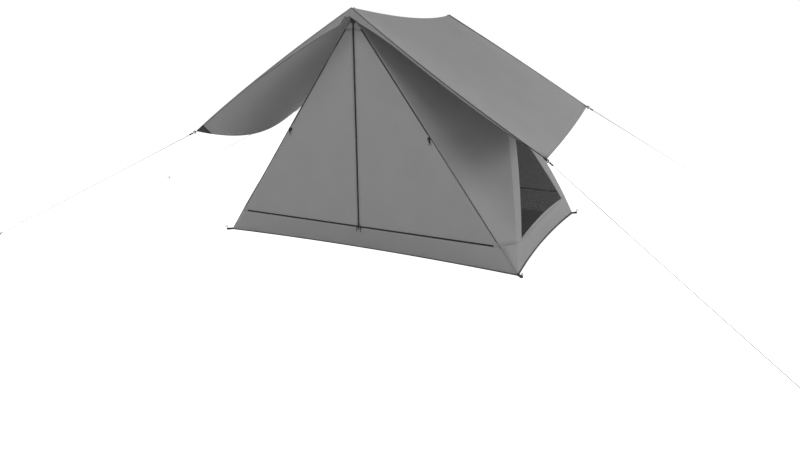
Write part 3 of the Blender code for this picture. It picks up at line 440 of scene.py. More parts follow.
# Foot bands: the lowest strip of the walls, under the zip at each end and under the windows
# and gussets at the sides. Plain-woven polyester with a thin coat, its curved hem turned up
# and bound with black tape.
APEX_HEIGHT = 1.5
KNEE = Vector((0.738, 0.0, 0.93))
FOLD_BOW = Vector((0.024, -0.047, 0.0))
CORNER = Vector((HALF_WIDTH, -HALF_DEPTH, 0.0))
APEX = Vector((0.0, -HALF_DEPTH, APEX_HEIGHT))
BAND_TOP = 0.165
GAP = 0.0003
TAPE_HALF = 0.0055
SEAM_INSET = 0.0007
HEM_FOOT = 0.0022
HEM_ROUND = 0.0008
BAND_STEPS = 72
BAND_ROWS = 12
BAND_RIPPLE = 0.004
END_BINDING = 0.0065
SIDE_BINDING = 0.0160


def placed(point, side, end):
    """A point of the right-hand front quarter, moved to another quarter."""
    return Vector((point[0] * side, point[1] * -end, point[2]))


def on_seam(height):
    return CORNER.lerp(APEX, height / APEX_HEIGHT)


def on_crease(height):
    """Point of the fold from the ground corner to the knee, which bows outwards."""
    part = height / KNEE.z
    return CORNER.lerp(KNEE, part) + FOLD_BOW * 4 * part * (1 - part)


def ripple(point, scale, depth, seed=0.0):
    """Slow unevenness of stretched cloth."""
    return depth * noise.noise(Vector(point) * scale + Vector((seed, seed, seed)))


def foot_band(name, pairs, out, binding_height):
    """Band from pairs of (top, foot), with black binding round its hem."""
    along = Vector((abs(out.y), abs(out.x), 0.0))
    rows = []
    for drop in spread(0, 1, BAND_ROWS):
        row = []
        for j, (top, foot) in enumerate(pairs):
            point = top.lerp(foot, drop)
            slack = 4 * drop * (1 - drop) * min(1.0, min(j, len(pairs) - 1 - j) / 8)
            wave = (point.dot(along) * 6, point.z * 3, out.x + out.y * 3)
            row.append((point + out * ripple(wave, 1.0, BAND_RIPPLE) * slack, (point.dot(along), point.z)))
        rows.append(row)
    made = cloth_object(f"foot_band_{name}", [rows], CLOTH, wall_cloth)
    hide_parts(f"base_band_{name}")
    bound = []
    for height in (HEM_FOOT - HEM_ROUND, binding_height):
        row = []
        for top, foot in pairs:
            point = foot.lerp(top, (height - HEM_FOOT) / (top.z - HEM_FOOT)) + out * CLOTH
            row.append((point, (point.dot(along), height)))
        bound.append(row)
    binding = cloth_object(f"hem_binding_{name}", [bound], CLOTH, hem_tape)


# Polyester, plain woven, 0.3 mm a thread: matt mid grey with a faint cross grain and a few
# thicker threads. The threads are drawn at 0.56 mm. Flat-felled seams have two rows of thread.
wall_cloth = cloth_material(
    "woven_polyester", "#8c8c8c", "#969696", "#5c5c5c", 0.8, ((1, 0.006), (1, 0.012)), THIN)
# Nylon tape, woven close and dyed black: matt, the threads hardly show
hem_tape = cloth_material("black_nylon_tape", "#161616", "#202020", "#2c2c2c", 0.75)

gusset_normal = (KNEE - CORNER).cross(APEX - CORNER).normalized()
FROM_SEAM = gusset_normal.cross((APEX - CORNER).normalized())
FROM_SEAM *= 1 if FROM_SEAM.dot(KNEE - CORNER) > 0 else -1

for end_name, end in ENDS:
    top = BAND_TOP - TAPE_HALF - GAP
    pairs = []
    for part in spread(-1, 1, BAND_STEPS):
        foot_x = part * (HALF_WIDTH - SEAM_INSET * 2)
        foot = Vector((foot_x, end_hem(foot_x) * end, HEM_FOOT))
        pairs.append((Vector((part * (on_seam(top).x - 0.001), HALF_DEPTH * end, top)), foot))
    foot_band(end_name, pairs, BACK * end, END_BINDING)

for side_name, side in SIDES:
    top = BAND_TOP - GAP
    seam_top = on_seam(top) + FROM_SEAM * SEAM_INSET
    crease_top = on_crease(top)
    pairs = [(seam_top, CORNER), (seam_top.lerp(crease_top, 0.5), CORNER)]
    for part in spread(1, -1, BAND_STEPS):
        foot_y = -HALF_DEPTH * part
        top_point = Vector((crease_top.x, crease_top.y * part, top))
        pairs.append((top_point, Vector((side_hem(foot_y), foot_y, 0.0))))
    for top_point, foot in reversed(pairs[:2]):
        pairs.append((Vector((top_point.x, -top_point.y, top)), Vector((foot.x, -foot.y, 0.0))))
    shifted = []
    for top_point, foot in pairs:
        foot = Vector((foot.x, foot.y, HEM_FOOT))
        shifted.append((placed(top_point, side, -1), placed(foot, side, -1)))
    foot_band(side_name, shifted, ACROSS * side, SIDE_BINDING)


# Side walls: one sheet of the same polyester each, over the roof, down the two gussets and
# round the window. They are felled together along the ridge and folded where the wall is
# stretched from the knee to the ground corners.
RIDGE_SAG = 0.095
RIDGE_INSET = 0.0006
WALL_BASE = BAND_TOP + GAP
WALL_STEPS = 36
RIDGE_STEPS = 48
FRAME_STEPS = 5
WINDOW_TOP = 0.78
WINDOW_HALF_BASE = 0.535
WINDOW_SILL = 0.0055
WINDOW_ARCH = 0.019
WALL_OUT = Vector((0.8, 0.0, 0.6))
WALL_RIPPLE = 0.005


def ridge_height(y):
    return APEX_HEIGHT - RIDGE_SAG * (1 - (y / HALF_DEPTH) ** 2)


def on_panel(along, height):
    """Point of the right-hand window panel, which curves only up its slope."""
    return Vector((on_crease(height).x, along, height))


def sill_point(part):
    """Point of the window's arched sill, from -1 to 1."""
    return on_panel(WINDOW_HALF_BASE * part, WALL_BASE + WINDOW_SILL + WINDOW_ARCH * (1 - part ** 2))


def wavy(rows, seed):
    """Pull the inside of a patch out and in a little, leaving its edges alone."""
    last_row = len(rows) - 1
    last = len(rows[0]) - 1
    for i, row in enumerate(rows):
        for j, point in enumerate(row):
            edge = min(1.0, 5 * i / last_row, 5 - 5 * i / last_row, 5 * j / last, 5 - 5 * j / last)
            row[j] = point + WALL_OUT * ripple(point, 4.0, WALL_RIPPLE, seed) * edge
    return rows


def down_wall(point):
    """Place in the cloth: metres along the tent and metres down from the ridge."""
    return (point.y, hypot(point.x, APEX_HEIGHT - point.z) - 0.0005)


for side_name, side in SIDES:
    seed = 3.0 + side
    foot_seam = on_seam(WALL_BASE) + FROM_SEAM * SEAM_INSET
    apex = APEX + FROM_SEAM * SEAM_INSET + Vector((RIDGE_INSET, 0.0, -RIDGE_INSET))
    ridge = [apex]
    for step in range(1, RIDGE_STEPS):
        y = apex.y * (1 - 2 * step / RIDGE_STEPS)
        ridge.append(Vector((SEAM_INSET + RIDGE_INSET, y, ridge_height(y) - RIDGE_INSET)))
    ridge.append(Vector((apex.x, -apex.y, apex.z)))
    roof = [[point.lerp(KNEE, part) for point in ridge] for part in spread(0, 1, WALL_STEPS)]
    fold = [on_crease(height) for height in spread(WALL_BASE, KNEE.z, WALL_STEPS)]
    seam = spread(foot_seam, apex, WALL_STEPS)
    gusset = [spread(a, b, WALL_STEPS) for a, b in zip(fold, seam)]
    sill = [sill_point(part) for part in spread(-1, 1, BAND_STEPS)]
    heights = spread(sill[0].z, WINDOW_TOP, WALL_STEPS)
    edge = [on_panel(a, height) for a, height in zip(spread(-WINDOW_HALF_BASE, 0, WALL_STEPS), heights)]
    window_frame = [spread(a, b, FRAME_STEPS) for a, b in zip(fold, edge)]
    foot = spread(fold[0], Vector((fold[0].x, -fold[0].y, fold[0].z)), BAND_STEPS)
    patches = [wavy(roof, seed)]
    for rows in (wavy(gusset, seed), window_frame):
        patches.append(rows)
        patches.append([[Vector((p.x, -p.y, p.z)) for p in row] for row in rows])
    patches.append([spread(a, b, FRAME_STEPS) for a, b in zip(foot, sill)])
    laid = [[[(placed(p, side, -1), down_wall(p)) for p in row] for row in rows] for rows in patches]
    wall = cloth_object(f"side_panel_{side_name}", laid, CLOTH, wall_cloth)
    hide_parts(f"side_wall_{side_name}")


# Windows: polyester netting, sewn into the hole in each side wall, with black binding over
# the cut edge on the outside.
NET_ROWS = 36
NET_COLUMNS = 48
NET_HOLE = 0.0024
NET_SHARE = 0.42
NET_INSET = 0.0004
BINDING_HALF = 0.0028
BINDING_OUT = 0.0008
BINDING_STEPS = 24
BINDING_CLOTH = 0.00042
BINDING_STEP = 0.02

# Polyester, warp-knitted with holes of 1.2 mm and drawn at 2.4 mm: black threads that let the
# inside show as if through smoke, with a stretch line every few centimetres
netting, tree, shader = new_material("knitted_netting", "#1e1e1e", 0.85)
shader.inputs["Specular IOR Level"].default_value = 0.2
place = add(tree, "UVMap")
split = add(tree, "SeparateXYZ", Vector=place).node.outputs
threads = []
for axis in (0, 1):
    run = add(tree, "Math", operation="PINGPONG", _0=split[axis], _1=NET_HOLE / 2)
    threads.append(add(tree, "Math", operation="LESS_THAN", _0=run, _1=NET_HOLE / 2 * NET_SHARE))
add(tree, "Math", to=shader.inputs["Alpha"], operation="MAXIMUM", _0=threads[0], _1=threads[1])
stretch = add(tree, "TexNoise", Vector=place, Scale=14.0, Detail=2.0)
vary(tree, shader, stretch, "#161616", "#2a2a2a")

for side_name, side in SIDES:
    top = Vector((0.0, WINDOW_TOP))
    rows = []
    for rise in spread(0, 1, NET_ROWS):
        row = []
        for part in spread(-1, 1, NET_COLUMNS):
            foot = sill_point(part)
            place = Vector((foot.y, foot.z + NET_INSET)).lerp(top, rise)
            row.append((placed(on_panel(*place), side, -1), (place.x, place.y)))
        rows.append(row)
    net = cloth_object(f"window_net_{side_name}", [rows], 0.0, netting)
    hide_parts(f"window_mesh_{side_name}")
    outline = [sill_point(part) for part in spread(-1, 1, BINDING_STEPS)]
    for hand, rises in ((1, (0, 1)), (-1, (1, 0))):
        foot = Vector(sill_point(hand).yz)
        outline += [on_panel(*foot.lerp(top, rise)) for rise in spread(*rises, BINDING_STEPS)[1:]]
    bound = []
    for index, point in enumerate(outline):
        before = outline[index - 1] if index else outline[-2]
        after = outline[(index + 1) % len(outline)] if index < len(outline) - 1 else outline[1]
        inward = (after - before).cross(WALL_OUT).normalized() * BINDING_HALF
        pair = []
        for share in (-1, 1):
            place = point + WALL_OUT * BINDING_OUT + inward * share
            pair.append((placed(place, side, -1), (share, index * BINDING_STEP)))
        bound.append(pair)
    edging = cloth_object(f"window_binding_{side_name}", [bound], BINDING_CLOTH, webbing)


# Doors: two panels of wall cloth at each end, each sewn to a sloping seam, with a hem turned
# in beside the zip. Black tape is stitched over the seam, and it is wider above the toggle.
DOOR_BASE = 0.1748
DOOR_TOP = 1.42
SEAM_RATIO = hypot(HALF_WIDTH, APEX_HEIGHT) / APEX_HEIGHT
SEAM_CLEAR = 0.0008
DOOR_ROWS = 60
DOOR_COLUMNS = 34
DOOR_FOOT = 0.1711
CHAIN_SIDE = 0.0058
OTHER_SIDE = 0.0061
HEM_WIDTH = 0.012
HEM_HIGH = 0.009
HEM_STEP = 0.0005
HEM_RAISE = 0.0009
DOOR_RIPPLE = 0.0035
SEAM_TAPE_WIDE = 0.0085
SEAM_TAPE_NARROW = 0.0045
SEAM_TAPE_INSET = 0.0009
SEAM_TAPE_OUT = 0.0007
SEAM_TAPE_SHORT = 0.002
SEAM_TAPE_CLOTH = 0.00048
SEAM_TAPE_FLARE = 0.03
TOGGLE_HEIGHT = 0.79
TOGGLE_ABOVE = 0.008
TIE_PATCH_HALF = 0.009
TIE_PATCH_LENGTH = 0.020
TIE_PATCH_INWARD = 0.0075


def seam_x(height, inset):
    return HALF_WIDTH * (1 - height / APEX_HEIGHT) - inset * SEAM_RATIO


def on_door(x, out, height, end):
    """Point in front of the flat door wall of one end."""
    return Vector((x, (HALF_DEPTH + out) * end, height))


# The same polyester, with the hem of the zip and the foot held by a double row of thread
door_cloth = cloth_material(
    "woven_polyester_hemmed", "#8c8c8c", "#969696", "#5c5c5c", 0.8,
    ((0, 0.0165), (0, 0.0105), (1, DOOR_BASE + 0.006)), THIN)
# Nylon tape, woven and dyed dark grey: it fades at the foot, where it is folded to a piping
seam_tape = cloth_material("dark_nylon_tape", "#262626", "#3a3a3a", "#171717", 0.75)
joints = frame["record"]["behaviour"]["joints"]
pivots = {joint["child"]: Vector(joint["pos_m"]) for joint in joints if "pos_m" in joint}

for quarter, end, side_name, side in QUARTERS:
    # The door with the zip's coil is on the right as the wall is seen from outside
    has_chain = (end < 0) == (side > 0)
    middle = CHAIN_SIDE if has_chain else OTHER_SIDE
    body = f"door_{quarter}"
    rows = []
    hem_top = DOOR_BASE + HEM_HIGH
    for height in [DOOR_FOOT, DOOR_BASE] + spread(hem_top, DOOR_TOP, DOOR_ROWS):
        foot_raise = HEM_RAISE if height <= hem_top else 0.0
        reach = seam_x(height, SEAM_CLEAR)
        inner = min(middle + HEM_WIDTH, middle + (reach - middle) * 0.4)
        flat = inner + HEM_STEP
        stations = [(middle, HEM_RAISE), (inner, HEM_RAISE)]
        stations += [(x, foot_raise) for x in spread(flat, reach, DOOR_COLUMNS)]
        row = []
        for x, raised in stations:
            part = (x - middle) / (reach - middle)
            slack = min(1.0, 5 * part) * min(1.0, 8 * (1 - part)) * min(1.0, 6 * (height - DOOR_BASE))
            out = raised + ripple((x * 1.2, height, end * side), 3.2, DOOR_RIPPLE, 1.3) * slack
            row.append((on_door(x * side, out, height, end), (x, height)))
        rows.append(row)
    panel = cloth_object(f"door_panel_{quarter}", [rows], CLOTH, door_cloth, body)
    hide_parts(body)
    tape = []
    for height in spread(DOOR_BASE + SEAM_TAPE_SHORT, DOOR_TOP - SEAM_TAPE_SHORT, DOOR_ROWS):
        share = min(max((height - TOGGLE_HEIGHT) / SEAM_TAPE_FLARE, 0.0), 1.0)
        width = SEAM_TAPE_NARROW + (SEAM_TAPE_WIDE - SEAM_TAPE_NARROW) * share
        width = min(width, seam_x(height, 0.0) * 0.5)
        insets = (SEAM_TAPE_INSET, SEAM_TAPE_INSET + width)
        tape.append([
            (on_door(seam_x(height, inset) * side, SEAM_TAPE_OUT, height, end), (inset, height))
            for inset in insets])
    strip = cloth_object(f"seam_tape_{quarter}", [tape], SEAM_TAPE_CLOTH, seam_tape, body)
    pivot = pivots[f"toggle_{quarter}"]
    patch_foot = pivot.z + TOGGLE_ABOVE - TIE_PATCH_LENGTH / 2
    foot = on_door(pivot.x - TIE_PATCH_INWARD * side, SEAM_TAPE_OUT, patch_foot, end)
    route = spread(foot, foot + UP * TIE_PATCH_LENGTH, 4)
    patch = strap(f"tie_patch_{quarter}", route, ACROSS, TIE_PATCH_HALF, CLOTH, webbing, body)


# Zips: woven tape with a nylon coil sewn along its middle. The upright one closes the two
# doors of an end, and the one along the foot closes them to the foot band.
TAPE_TOP = BAND_TOP + TAPE_HALF + GAP
TAPE_STEPS = 40
SIDE_TAPE = 0.0037
ZIP_FOOT_HALF = 0.971
COIL_FOOT_HALF = 0.937
FACING_INNER = 0.9375
TAPE = 0.0009
COIL_PITCH = 0.0021
COIL_RADIUS = 0.0023
COIL_RISE = 0.000665

# Polyester tape, woven in ribs and dyed black: matt
zip_tape = cloth_material("woven_zip_tape", "#131313", "#1c1c1c", "#262626", 0.7)
# Nylon, drawn to a wire and wound: black with a soft gloss, each turn catching a little light
coil_nylon, tree, shader = new_material("drawn_nylon", "#101010", 0.38)
shader.inputs["IOR"].default_value = 1.53
place = add(tree, "TexCoord", "Object")
dust = add(tree, "TexNoise", Vector=place, Scale=900.0, Detail=2.0)
vary(tree, shader, dust, "#0a0a0a", "#1c1c1c", (0.3, 0.5))


def coil(name, start, stop, out, body):
    """Row of coil turns along a line. One turn is shaped, and an Array repeats it."""
    bpy.ops.object.select_all(action="DESELECT")
    bpy.ops.mesh.primitive_cylinder_add(vertices=10, radius=COIL_PITCH * 0.46, depth=COIL_RADIUS * 2)
    made = bpy.context.object
    bpy.ops.object.mode_set(mode="EDIT")
    bpy.ops.mesh.select_all(action="SELECT")
    bpy.ops.transform.resize(value=(1.0, 1.5, 1.0))
    bpy.ops.object.mode_set(mode="OBJECT")
    for vert in made.data.vertices:
        vert.select = False
    for face in made.data.polygons:
        face.select = len(face.vertices) > 4
    bpy.ops.object.mode_set(mode="EDIT")
    bpy.ops.mesh.bevel(offset=COIL_PITCH * 0.28, segments=2)
    bpy.ops.object.mode_set(mode="OBJECT")
    bpy.ops.object.shade_smooth()
    along = (stop - start).normalized()
    turn = Matrix((along, out, along.cross(out))).transposed().to_4x4()
    made.data.transform(Matrix.Translation(start + along * COIL_PITCH / 2 + out * COIL_RISE) @ turn)
    row = made.modifiers.new("turns", "ARRAY")
    row.use_relative_offset = False
    row.use_constant_offset = True
    row.constant_offset_displace = along * COIL_PITCH
    row.count = int((stop - start).length / COIL_PITCH)
    settle(made)
    return finished(made, name, coil_nylon, body)


def flat_tape(name, runs, end, body, node):
    """Tape in the plane of the door wall. A run has its two edges, each from (x, z) to (x, z)."""
    patches = []
    for edges in runs:
        sides = [spread(on_door(*a, end), on_door(*b, end), TAPE_STEPS) for a, b in edges]
        patches.append([[(point, (point.x, point.z)) for point in pair] for pair in zip(*sides)])
    made = cloth_object(name, patches, TAPE, zip_tape, body)
    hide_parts(node)


for end_name, end in ENDS:
    low = BAND_TOP - TAPE_HALF
    high = BAND_TOP + TAPE_HALF
    half = ZIP_FOOT_HALF
    run = [((-half, 0.0, z), (half, 0.0, z)) for z in (low, high)]
    flat_tape(f"foot_zip_tape_{end_name}", [run], end, "tent", f"base_zip_{end_name}")
    middle = on_door(0.0, 0.0, BAND_TOP, end)
    reach = ACROSS * COIL_FOOT_HALF
    coil(f"foot_zip_coil_{end_name}", middle - reach, middle + reach, BACK * end, "tent")

for quarter, end, side_name, side in QUARTERS:
    edges = []
    for height in (BAND_TOP - TAPE_HALF - GAP, BAND_TOP + TAPE_HALF - GAP):
        ends = [on_door(x * side, TAPE, height, end) for x in (FACING_INNER, seam_x(height, 0.001))]
        edges.append(spread(*ends, 4))
    rows = [[(point, (abs(point.x), point.z)) for point in pair] for pair in zip(*edges)]
    cloth_object(f"zip_end_facing_{quarter}", [rows], CLOTH, door_cloth)

    has_chain = (end < 0) == (side > 0)
    inner = (-TAPE_HALF if has_chain else TAPE_HALF + GAP) * side
    outer = (TAPE_HALF if has_chain else TAPE_HALF + GAP + SIDE_TAPE) * side
    foot_end = (ZIP_FOOT_HALF - GAP * 6) * side
    foot_top = DOOR_BASE - GAP
    upright = [((x, 0.0, TAPE_TOP), (x, 0.0, DOOR_TOP)) for x in (inner, outer)]
    foot = [((outer, 0.0, z), (foot_end, 0.0, z)) for z in (TAPE_TOP, foot_top)]
    flat_tape(f"door_zip_tape_{quarter}", [upright, foot], end, f"door_{quarter}", f"door_zip_{quarter}")
    if has_chain:
        start, stop = (on_door(0.0, 0.0, z, end) for z in (DOOR_BASE, DOOR_TOP))
        coil(f"door_zip_coil_{quarter}", start, stop, BACK * end, f"door_{quarter}")


# Sliders and pull tabs: die-cast zinc sliders with black enamel, and moulded tabs that hang in
# their bridges. Three work at each end, one up the middle and two along the foot.
def moulded(name, dark, light, roughness, metallic=0.0):
    """Smooth finish with faint scuffs, duller where it is handled."""
    made, tree, shader = new_material(name, light, roughness, metallic)
    shader.inputs["Specular IOR Level"].default_value = 0.3
    place = add(tree, "TexCoord", "Object")
    scuff = add(tree, "TexNoise", Vector=place, Scale=260.0, Detail=4.0)
    vary(tree, shader, scuff, dark, light, (roughness * 0.85, roughness * 1.2), (0.12, 0.0002))
    return made


def dress(node, look):
    """Give a node of the frame its finish."""
    node_data = bpy.data.objects[node].data
    node_data.materials.clear()
    node_data.materials.append(look)


# Enamel, sprayed and baked on zinc: black, glossy, with fine scuffs
enamel = moulded("baked_enamel", "#0b0b0b", "#171717", 0.4)
# Acetal, injection moulded: black, with a dull sheen
acetal = moulded("moulded_acetal", "#0b0b0b", "#161616", 0.55)

for end_name, end in ENDS:
    for place in ("upright", "left", "right"):
        dress(f"slider_{end_name}_{place}", enamel)
        dress(f"pull_tab_{end_name}_{place}", acetal)


# Tie-back toggles: moulded barrels with two legs of elastic cord, each hung in a small ring
# of elastic that is sewn to its door, and line runners on the guylines, moulded as well.
TIE_RING_RADIUS = 0.008
TIE_RING_WIRE = 0.0012

# Rubber cord in a polyester sleeve, braided and dyed black: matt with fine crossing strands
elastic, tree, shader = new_material("covered_elastic", "#181818", 0.8)
place = add(tree, "TexCoord", "Object")
strands = add(
    tree, "TexWave", 1, bands_direction="DIAGONAL", Vector=place, Scale=260.0, Distortion=1.0)
vary(tree, shader, strands, "#101010", "#242424", bump=(0.5, 0.0002))


def ring(name, centre, axis, major, minor, look, body="tent"):
    """Round ring, finished with its place in its mesh."""
    bpy.ops.object.select_all(action="DESELECT")
    bpy.ops.mesh.primitive_torus_add(
        major_radius=major, minor_radius=minor, major_segments=32, minor_segments=12)
    made = bpy.context.object
    turn = axis.normalized().to_track_quat("Z", "Y").to_matrix().to_4x4()
    made.data.transform(Matrix.Translation(centre) @ turn)
    bpy.ops.object.shade_smooth()
    return finished(made, name, look, body)


for quarter, *_ in QUARTERS:
    dress(f"toggle_{quarter}", acetal)
    dress(f"tensioner_{quarter}", acetal)
    centre = pivots[f"toggle_{quarter}"] + UP * TIE_RING_RADIUS
    ring(f"tie_ring_{quarter}", centre, ACROSS, TIE_RING_RADIUS, TIE_RING_WIRE, elastic,
         f"door_{quarter}")


# Poles: aluminium tube in three sections, drawn and anodised dark, with swaged joints, a
# rubber foot and a steel spigot. They lean out a little towards the apexes.
POLE_FOOT = Vector((0.0, 0.684, 0.0021))
POLE_TOP = Vector((0.0, 0.735, 1.455))
POLE_RADIUS = 0.0095
JOINT_RADIUS = 0.0105
JOINT_HALF = 0.008
JOINT_ROUNDING = 0.0009
CUP_RADIUS = 0.0121
CUP_HEIGHT = 0.033
CUP_FLOOR = 0.004
POLE_ROUNDING = 0.002
SPIGOT_RADIUS = 0.0033
SPIGOT_SUNK = 0.01
SPIGOT_ROUNDING = 0.0014
SPIGOT_TOP = {"front": 1.5402, "rear": 1.5245}

# Aluminium, drawn and anodised: dark, a soft gloss with fine lines along the tube
anodised, tree, shader = new_material("anodised_aluminium", "#2b2b2b", 0.38, 0.9)
place = add(tree, "TexCoord", "Object")
drawn = add(tree, "Mapping", Vector=place, Scale=(700.0, 700.0, 5.0))
lines = add(tree, "TexNoise", Vector=drawn, Scale=1.0, Detail=3.0)
vary(tree, shader, lines, "#222222", "#363636", (0.3, 0.48))
# Rubber, moulded: black and dull, chalky where it has stood on the ground
rubber = moulded("moulded_rubber", "#0d0d0d", "#1f1f1f", 0.75)
# Steel, turned and zinc plated: grey with a hazy shine
zinc = moulded("plated_steel", "#6f6f6f", "#828282", 0.36, 1.0)


def spigot_point(end, height):
    along = POLE_TOP - POLE_FOOT
    point = POLE_FOOT + along * ((height - POLE_FOOT.z) / along.z)
    return Vector((0.0, point.y * end, point.z))


def rod(name, radius, start, stop, rounding, look):
    """Round bar with its ends rounded off."""
    bpy.ops.object.select_all(action="DESELECT")
    bpy.ops.mesh.primitive_cylinder_add(vertices=28, radius=radius, depth=(stop - start).length)
    made = bpy.context.object
    edge = made.modifiers.new("edge", "BEVEL")
    edge.width = rounding
    edge.segments = 3
    settle(made)
    made.data.set_sharp_from_angle(angle=radians(50))
    turn = (stop - start).normalized().to_track_quat("Z", "Y").to_matrix().to_4x4()
    made.data.transform(Matrix.Translation((start + stop) / 2) @ turn)
    return finished(made, name, look)


for end_name, end in ENDS:
    foot = spigot_point(end, POLE_FOOT.z)
    top = spigot_point(end, POLE_TOP.z)
    along = (top - foot).normalized()
    tube = rod(
        f"pole_tube_{end_name}", POLE_RADIUS, foot + along * CUP_FLOOR, top, POLE_ROUNDING, anodised)
    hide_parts(f"pole_{end_name}")
    rod(f"pole_foot_{end_name}", CUP_RADIUS, foot, foot + along * CUP_HEIGHT, POLE_ROUNDING, rubber)
    for joint_name, share in (("low", 1 / 3), ("high", 2 / 3)):
        middle = foot.lerp(top, share)
        reach = along * JOINT_HALF
        rod(f"pole_joint_{joint_name}_{end_name}", JOINT_RADIUS, middle - reach, middle + reach,
            JOINT_ROUNDING, anodised)
    tip = spigot_point(end, SPIGOT_TOP[end_name])
    rod(f"pole_spigot_{end_name}", SPIGOT_RADIUS, top - along * SPIGOT_SUNK, tip, SPIGOT_ROUNDING, zinc)


# Pegs: bent from steel wire of 5 mm and painted black. A corner peg stands in each peg loop
# and a guyline peg holds each line.

# Steel, painted black: half gloss, scuffed grey where it was driven in
painted_wire, tree, shader = new_material("painted_steel", "#1a1a1a", 0.5)
shader.inputs["Specular IOR Level"].default_value = 0.3
place = add(tree, "TexCoord", "Object")
scrapes = add(tree, "TexNoise", Vector=place, Scale=420.0, Detail=5.0, Roughness=0.7)
bare = add(tree, "MapRange", Value=scrapes, From_Min=0.6, From_Max=0.66)
vary(tree, shader, bare, "#0c0c0c", "#3c3c3c", bump=(0.2, 0.0002), invert=True)

for quarter, *_ in QUARTERS:
    dress(f"corner_peg_{quarter}", painted_wire)
    dress(f"guyline_peg_{quarter}", painted_wire)


# Apex reinforcements: a gable of wall cloth closes each end over the zip, and webbing with a
# steel eye for the pole's spigot is folded over the ridge and box stitched to the gable.
GABLE_TIP = 1.49
GABLE_STEPS = 10
GABLE_LAP = 0.004
GABLE_BACK = 0.0009
COVER_HALF = 0.0056
APEX_STRAP_HALF = 0.017
APEX_STRAP_FOOT = 1.452
APEX_STRAP_RISE = 0.0484
APEX_STRAP_INNER = 0.7065
APEX_STRAP_LIFT = 0.0024
EYE_LIFT = 0.0012
RIDGE_SLOPE = 2 * RIDGE_SAG / HALF_DEPTH
BOX_HALF = 0.006
BOX_LOW = 1.469
BOX_HIGH = 1.482
THREAD = 0.0004
EYE_MAJOR = 0.0058
EYE_MINOR = 0.0011


def spigot_direction(end):
    return Vector((0.0, (POLE_TOP.y - POLE_FOOT.y) * end, POLE_TOP.z - POLE_FOOT.z))


# Brass, pressed and nickel plated: bright and smooth, with hazy rub marks
plated, tree, shader = new_material("nickel_plated_brass", "#8f8f8c", 0.28, 1.0)
place = add(tree, "TexCoord", "Object")
rub = add(tree, "TexNoise", Vector=place, Scale=500.0, Detail=3.0)
add(tree, "MapRange", to=shader.inputs["Roughness"], Value=rub, To_Min=0.2, To_Max=0.42)
# Bonded nylon thread: black with a slight shine
thread_look = moulded("bonded_thread", "#191919", "#2c2c2c", 0.55)

for end_name, end in ENDS:
    rows = []
    for i in range(-1, GABLE_STEPS + 1):
        height = DOOR_TOP + GABLE_LAP * min(i, 0) + (GABLE_TIP - DOOR_TOP) * max(i, 0) / GABLE_STEPS
        back = GABLE_BACK if i < 1 else 0.0
        reach = seam_x(DOOR_TOP, SEAM_INSET) * (1 - max(i, 0) / GABLE_STEPS) + 0.00005
        rows.append([(on_door(x, -back, height, end), (x, height)) for x in spread(-reach, reach, 8)])
    gable = cloth_object(f"apex_gable_{end_name}", [rows], CLOTH, door_cloth)
    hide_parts(f"apex_tab_{end_name}")
    cover = [on_door(0.0, HEM_RAISE, z, end) for z in (DOOR_TOP + GAP, APEX_STRAP_FOOT - GAP)]
    strap(f"zip_top_cover_{end_name}", cover, ACROSS, COVER_HALF, TAPE, zip_tape)
    front = CLOTH / 2 + WEBBING / 2 + GAP
    foot = on_door(0.0, front, APEX_STRAP_FOOT, end)
    route = spread(foot, foot + UP * APEX_STRAP_RISE, 4)
    for y in spread(HALF_DEPTH + front, APEX_STRAP_INNER, 11)[1:]:
        drop = max(RIDGE_SLOPE * (HALF_DEPTH - y), 0.0)
        route.append(Vector((0.0, y * end, APEX_HEIGHT + APEX_STRAP_LIFT - drop)))
    strap(f"apex_strap_{end_name}", route, ACROSS, APEX_STRAP_HALF, WEBBING)
    stitched = CLOTH / 2 + WEBBING + GAP * 1.5
    corners = [(-1, BOX_LOW), (1, BOX_LOW), (1, BOX_HIGH), (-1, BOX_HIGH)]
    box = [on_door(x * BOX_HALF, stitched, z, end) for x, z in corners]
    routes = [[box[a], box[b]] for a, b in ((0, 1), (1, 2), (2, 3), (3, 0), (0, 2), (1, 3))]
    corded(f"box_stitch_{end_name}", routes, THREAD, thread_look)
    eye = spigot_point(end, APEX_HEIGHT + EYE_LIFT)
    ring(f"apex_eye_{end_name}", eye, spigot_direction(end), EYE_MAJOR, EYE_MINOR, plated)


# Fly sheet: two wings of coated polyester felled together along the ridge, with a brim
# hanging at each end. Poles hold it up, and guylines pull its four corners out.
FLY_APEX_Y = 0.765
FLY_APEX_HEIGHT = 1.541
FLY_RIDGE_SAG = 0.040
SAG_RISE = 1.1
SAG_FALL = 0.75
SAG_AT_LOWEST = 0.2868
FLY_FRONT_CORNER = Vector((1.25, -0.86, 0.74))
FLY_REAR_CORNER = Vector((1.16, 0.67, 0.86))
FLY_FRONT_BOW = 0.057
FLY_REAR_BOW = 0.03
FLY_LENGTH = 1.53
WING_LENGTH = 1.49
BRIM_DEPTH_EDGE = 0.02
BRIM_LEAN = 0.54
BRIM_MORE = {"left": 0.075, "right": 0.037, "rear": 0.028}
BRIM_END = {"left": 0.62, "right": 0.952, "rear": 0.952}
BRIM_FADE = {"left": 4, "right": 8, "rear": 8}
BRIM_STEPS = 6
# Painted shade: a dark strip of tape cloth this wide along the brim's lower edge, reaching this far down
# each wing, stands in for the soft shadow line there
BRIM_SHADE_LINE_WIDTH = 0.0036
BRIM_SHADE_LINE_END = {"left": 0.56, "right": 0.93, "rear": 0.93}
REAR_APEX_DROP = 0.012
WING_DROP = {"left": 0.10, "right": 0.02}
WING_DRAW_IN = {"left": 0.158, "right": 0.0}
WING_SKEW = {"left": 2.2, "right": 1.0}
FLY_RIPPLE = 0.004
SEAM_DIP = 0.004
APEX_CREASE = 0.0035
# How far the dark strip over each end edge of the fly reaches onto the fly, at the front and at the rear
EDGE_STRIP_WIDTH = {-1: 0.0085, 1: 0.0095}
EDGE_LIFT = 0.0009
EDGE_DOWN = 0.003
EYELET_LIFT = 0.0006


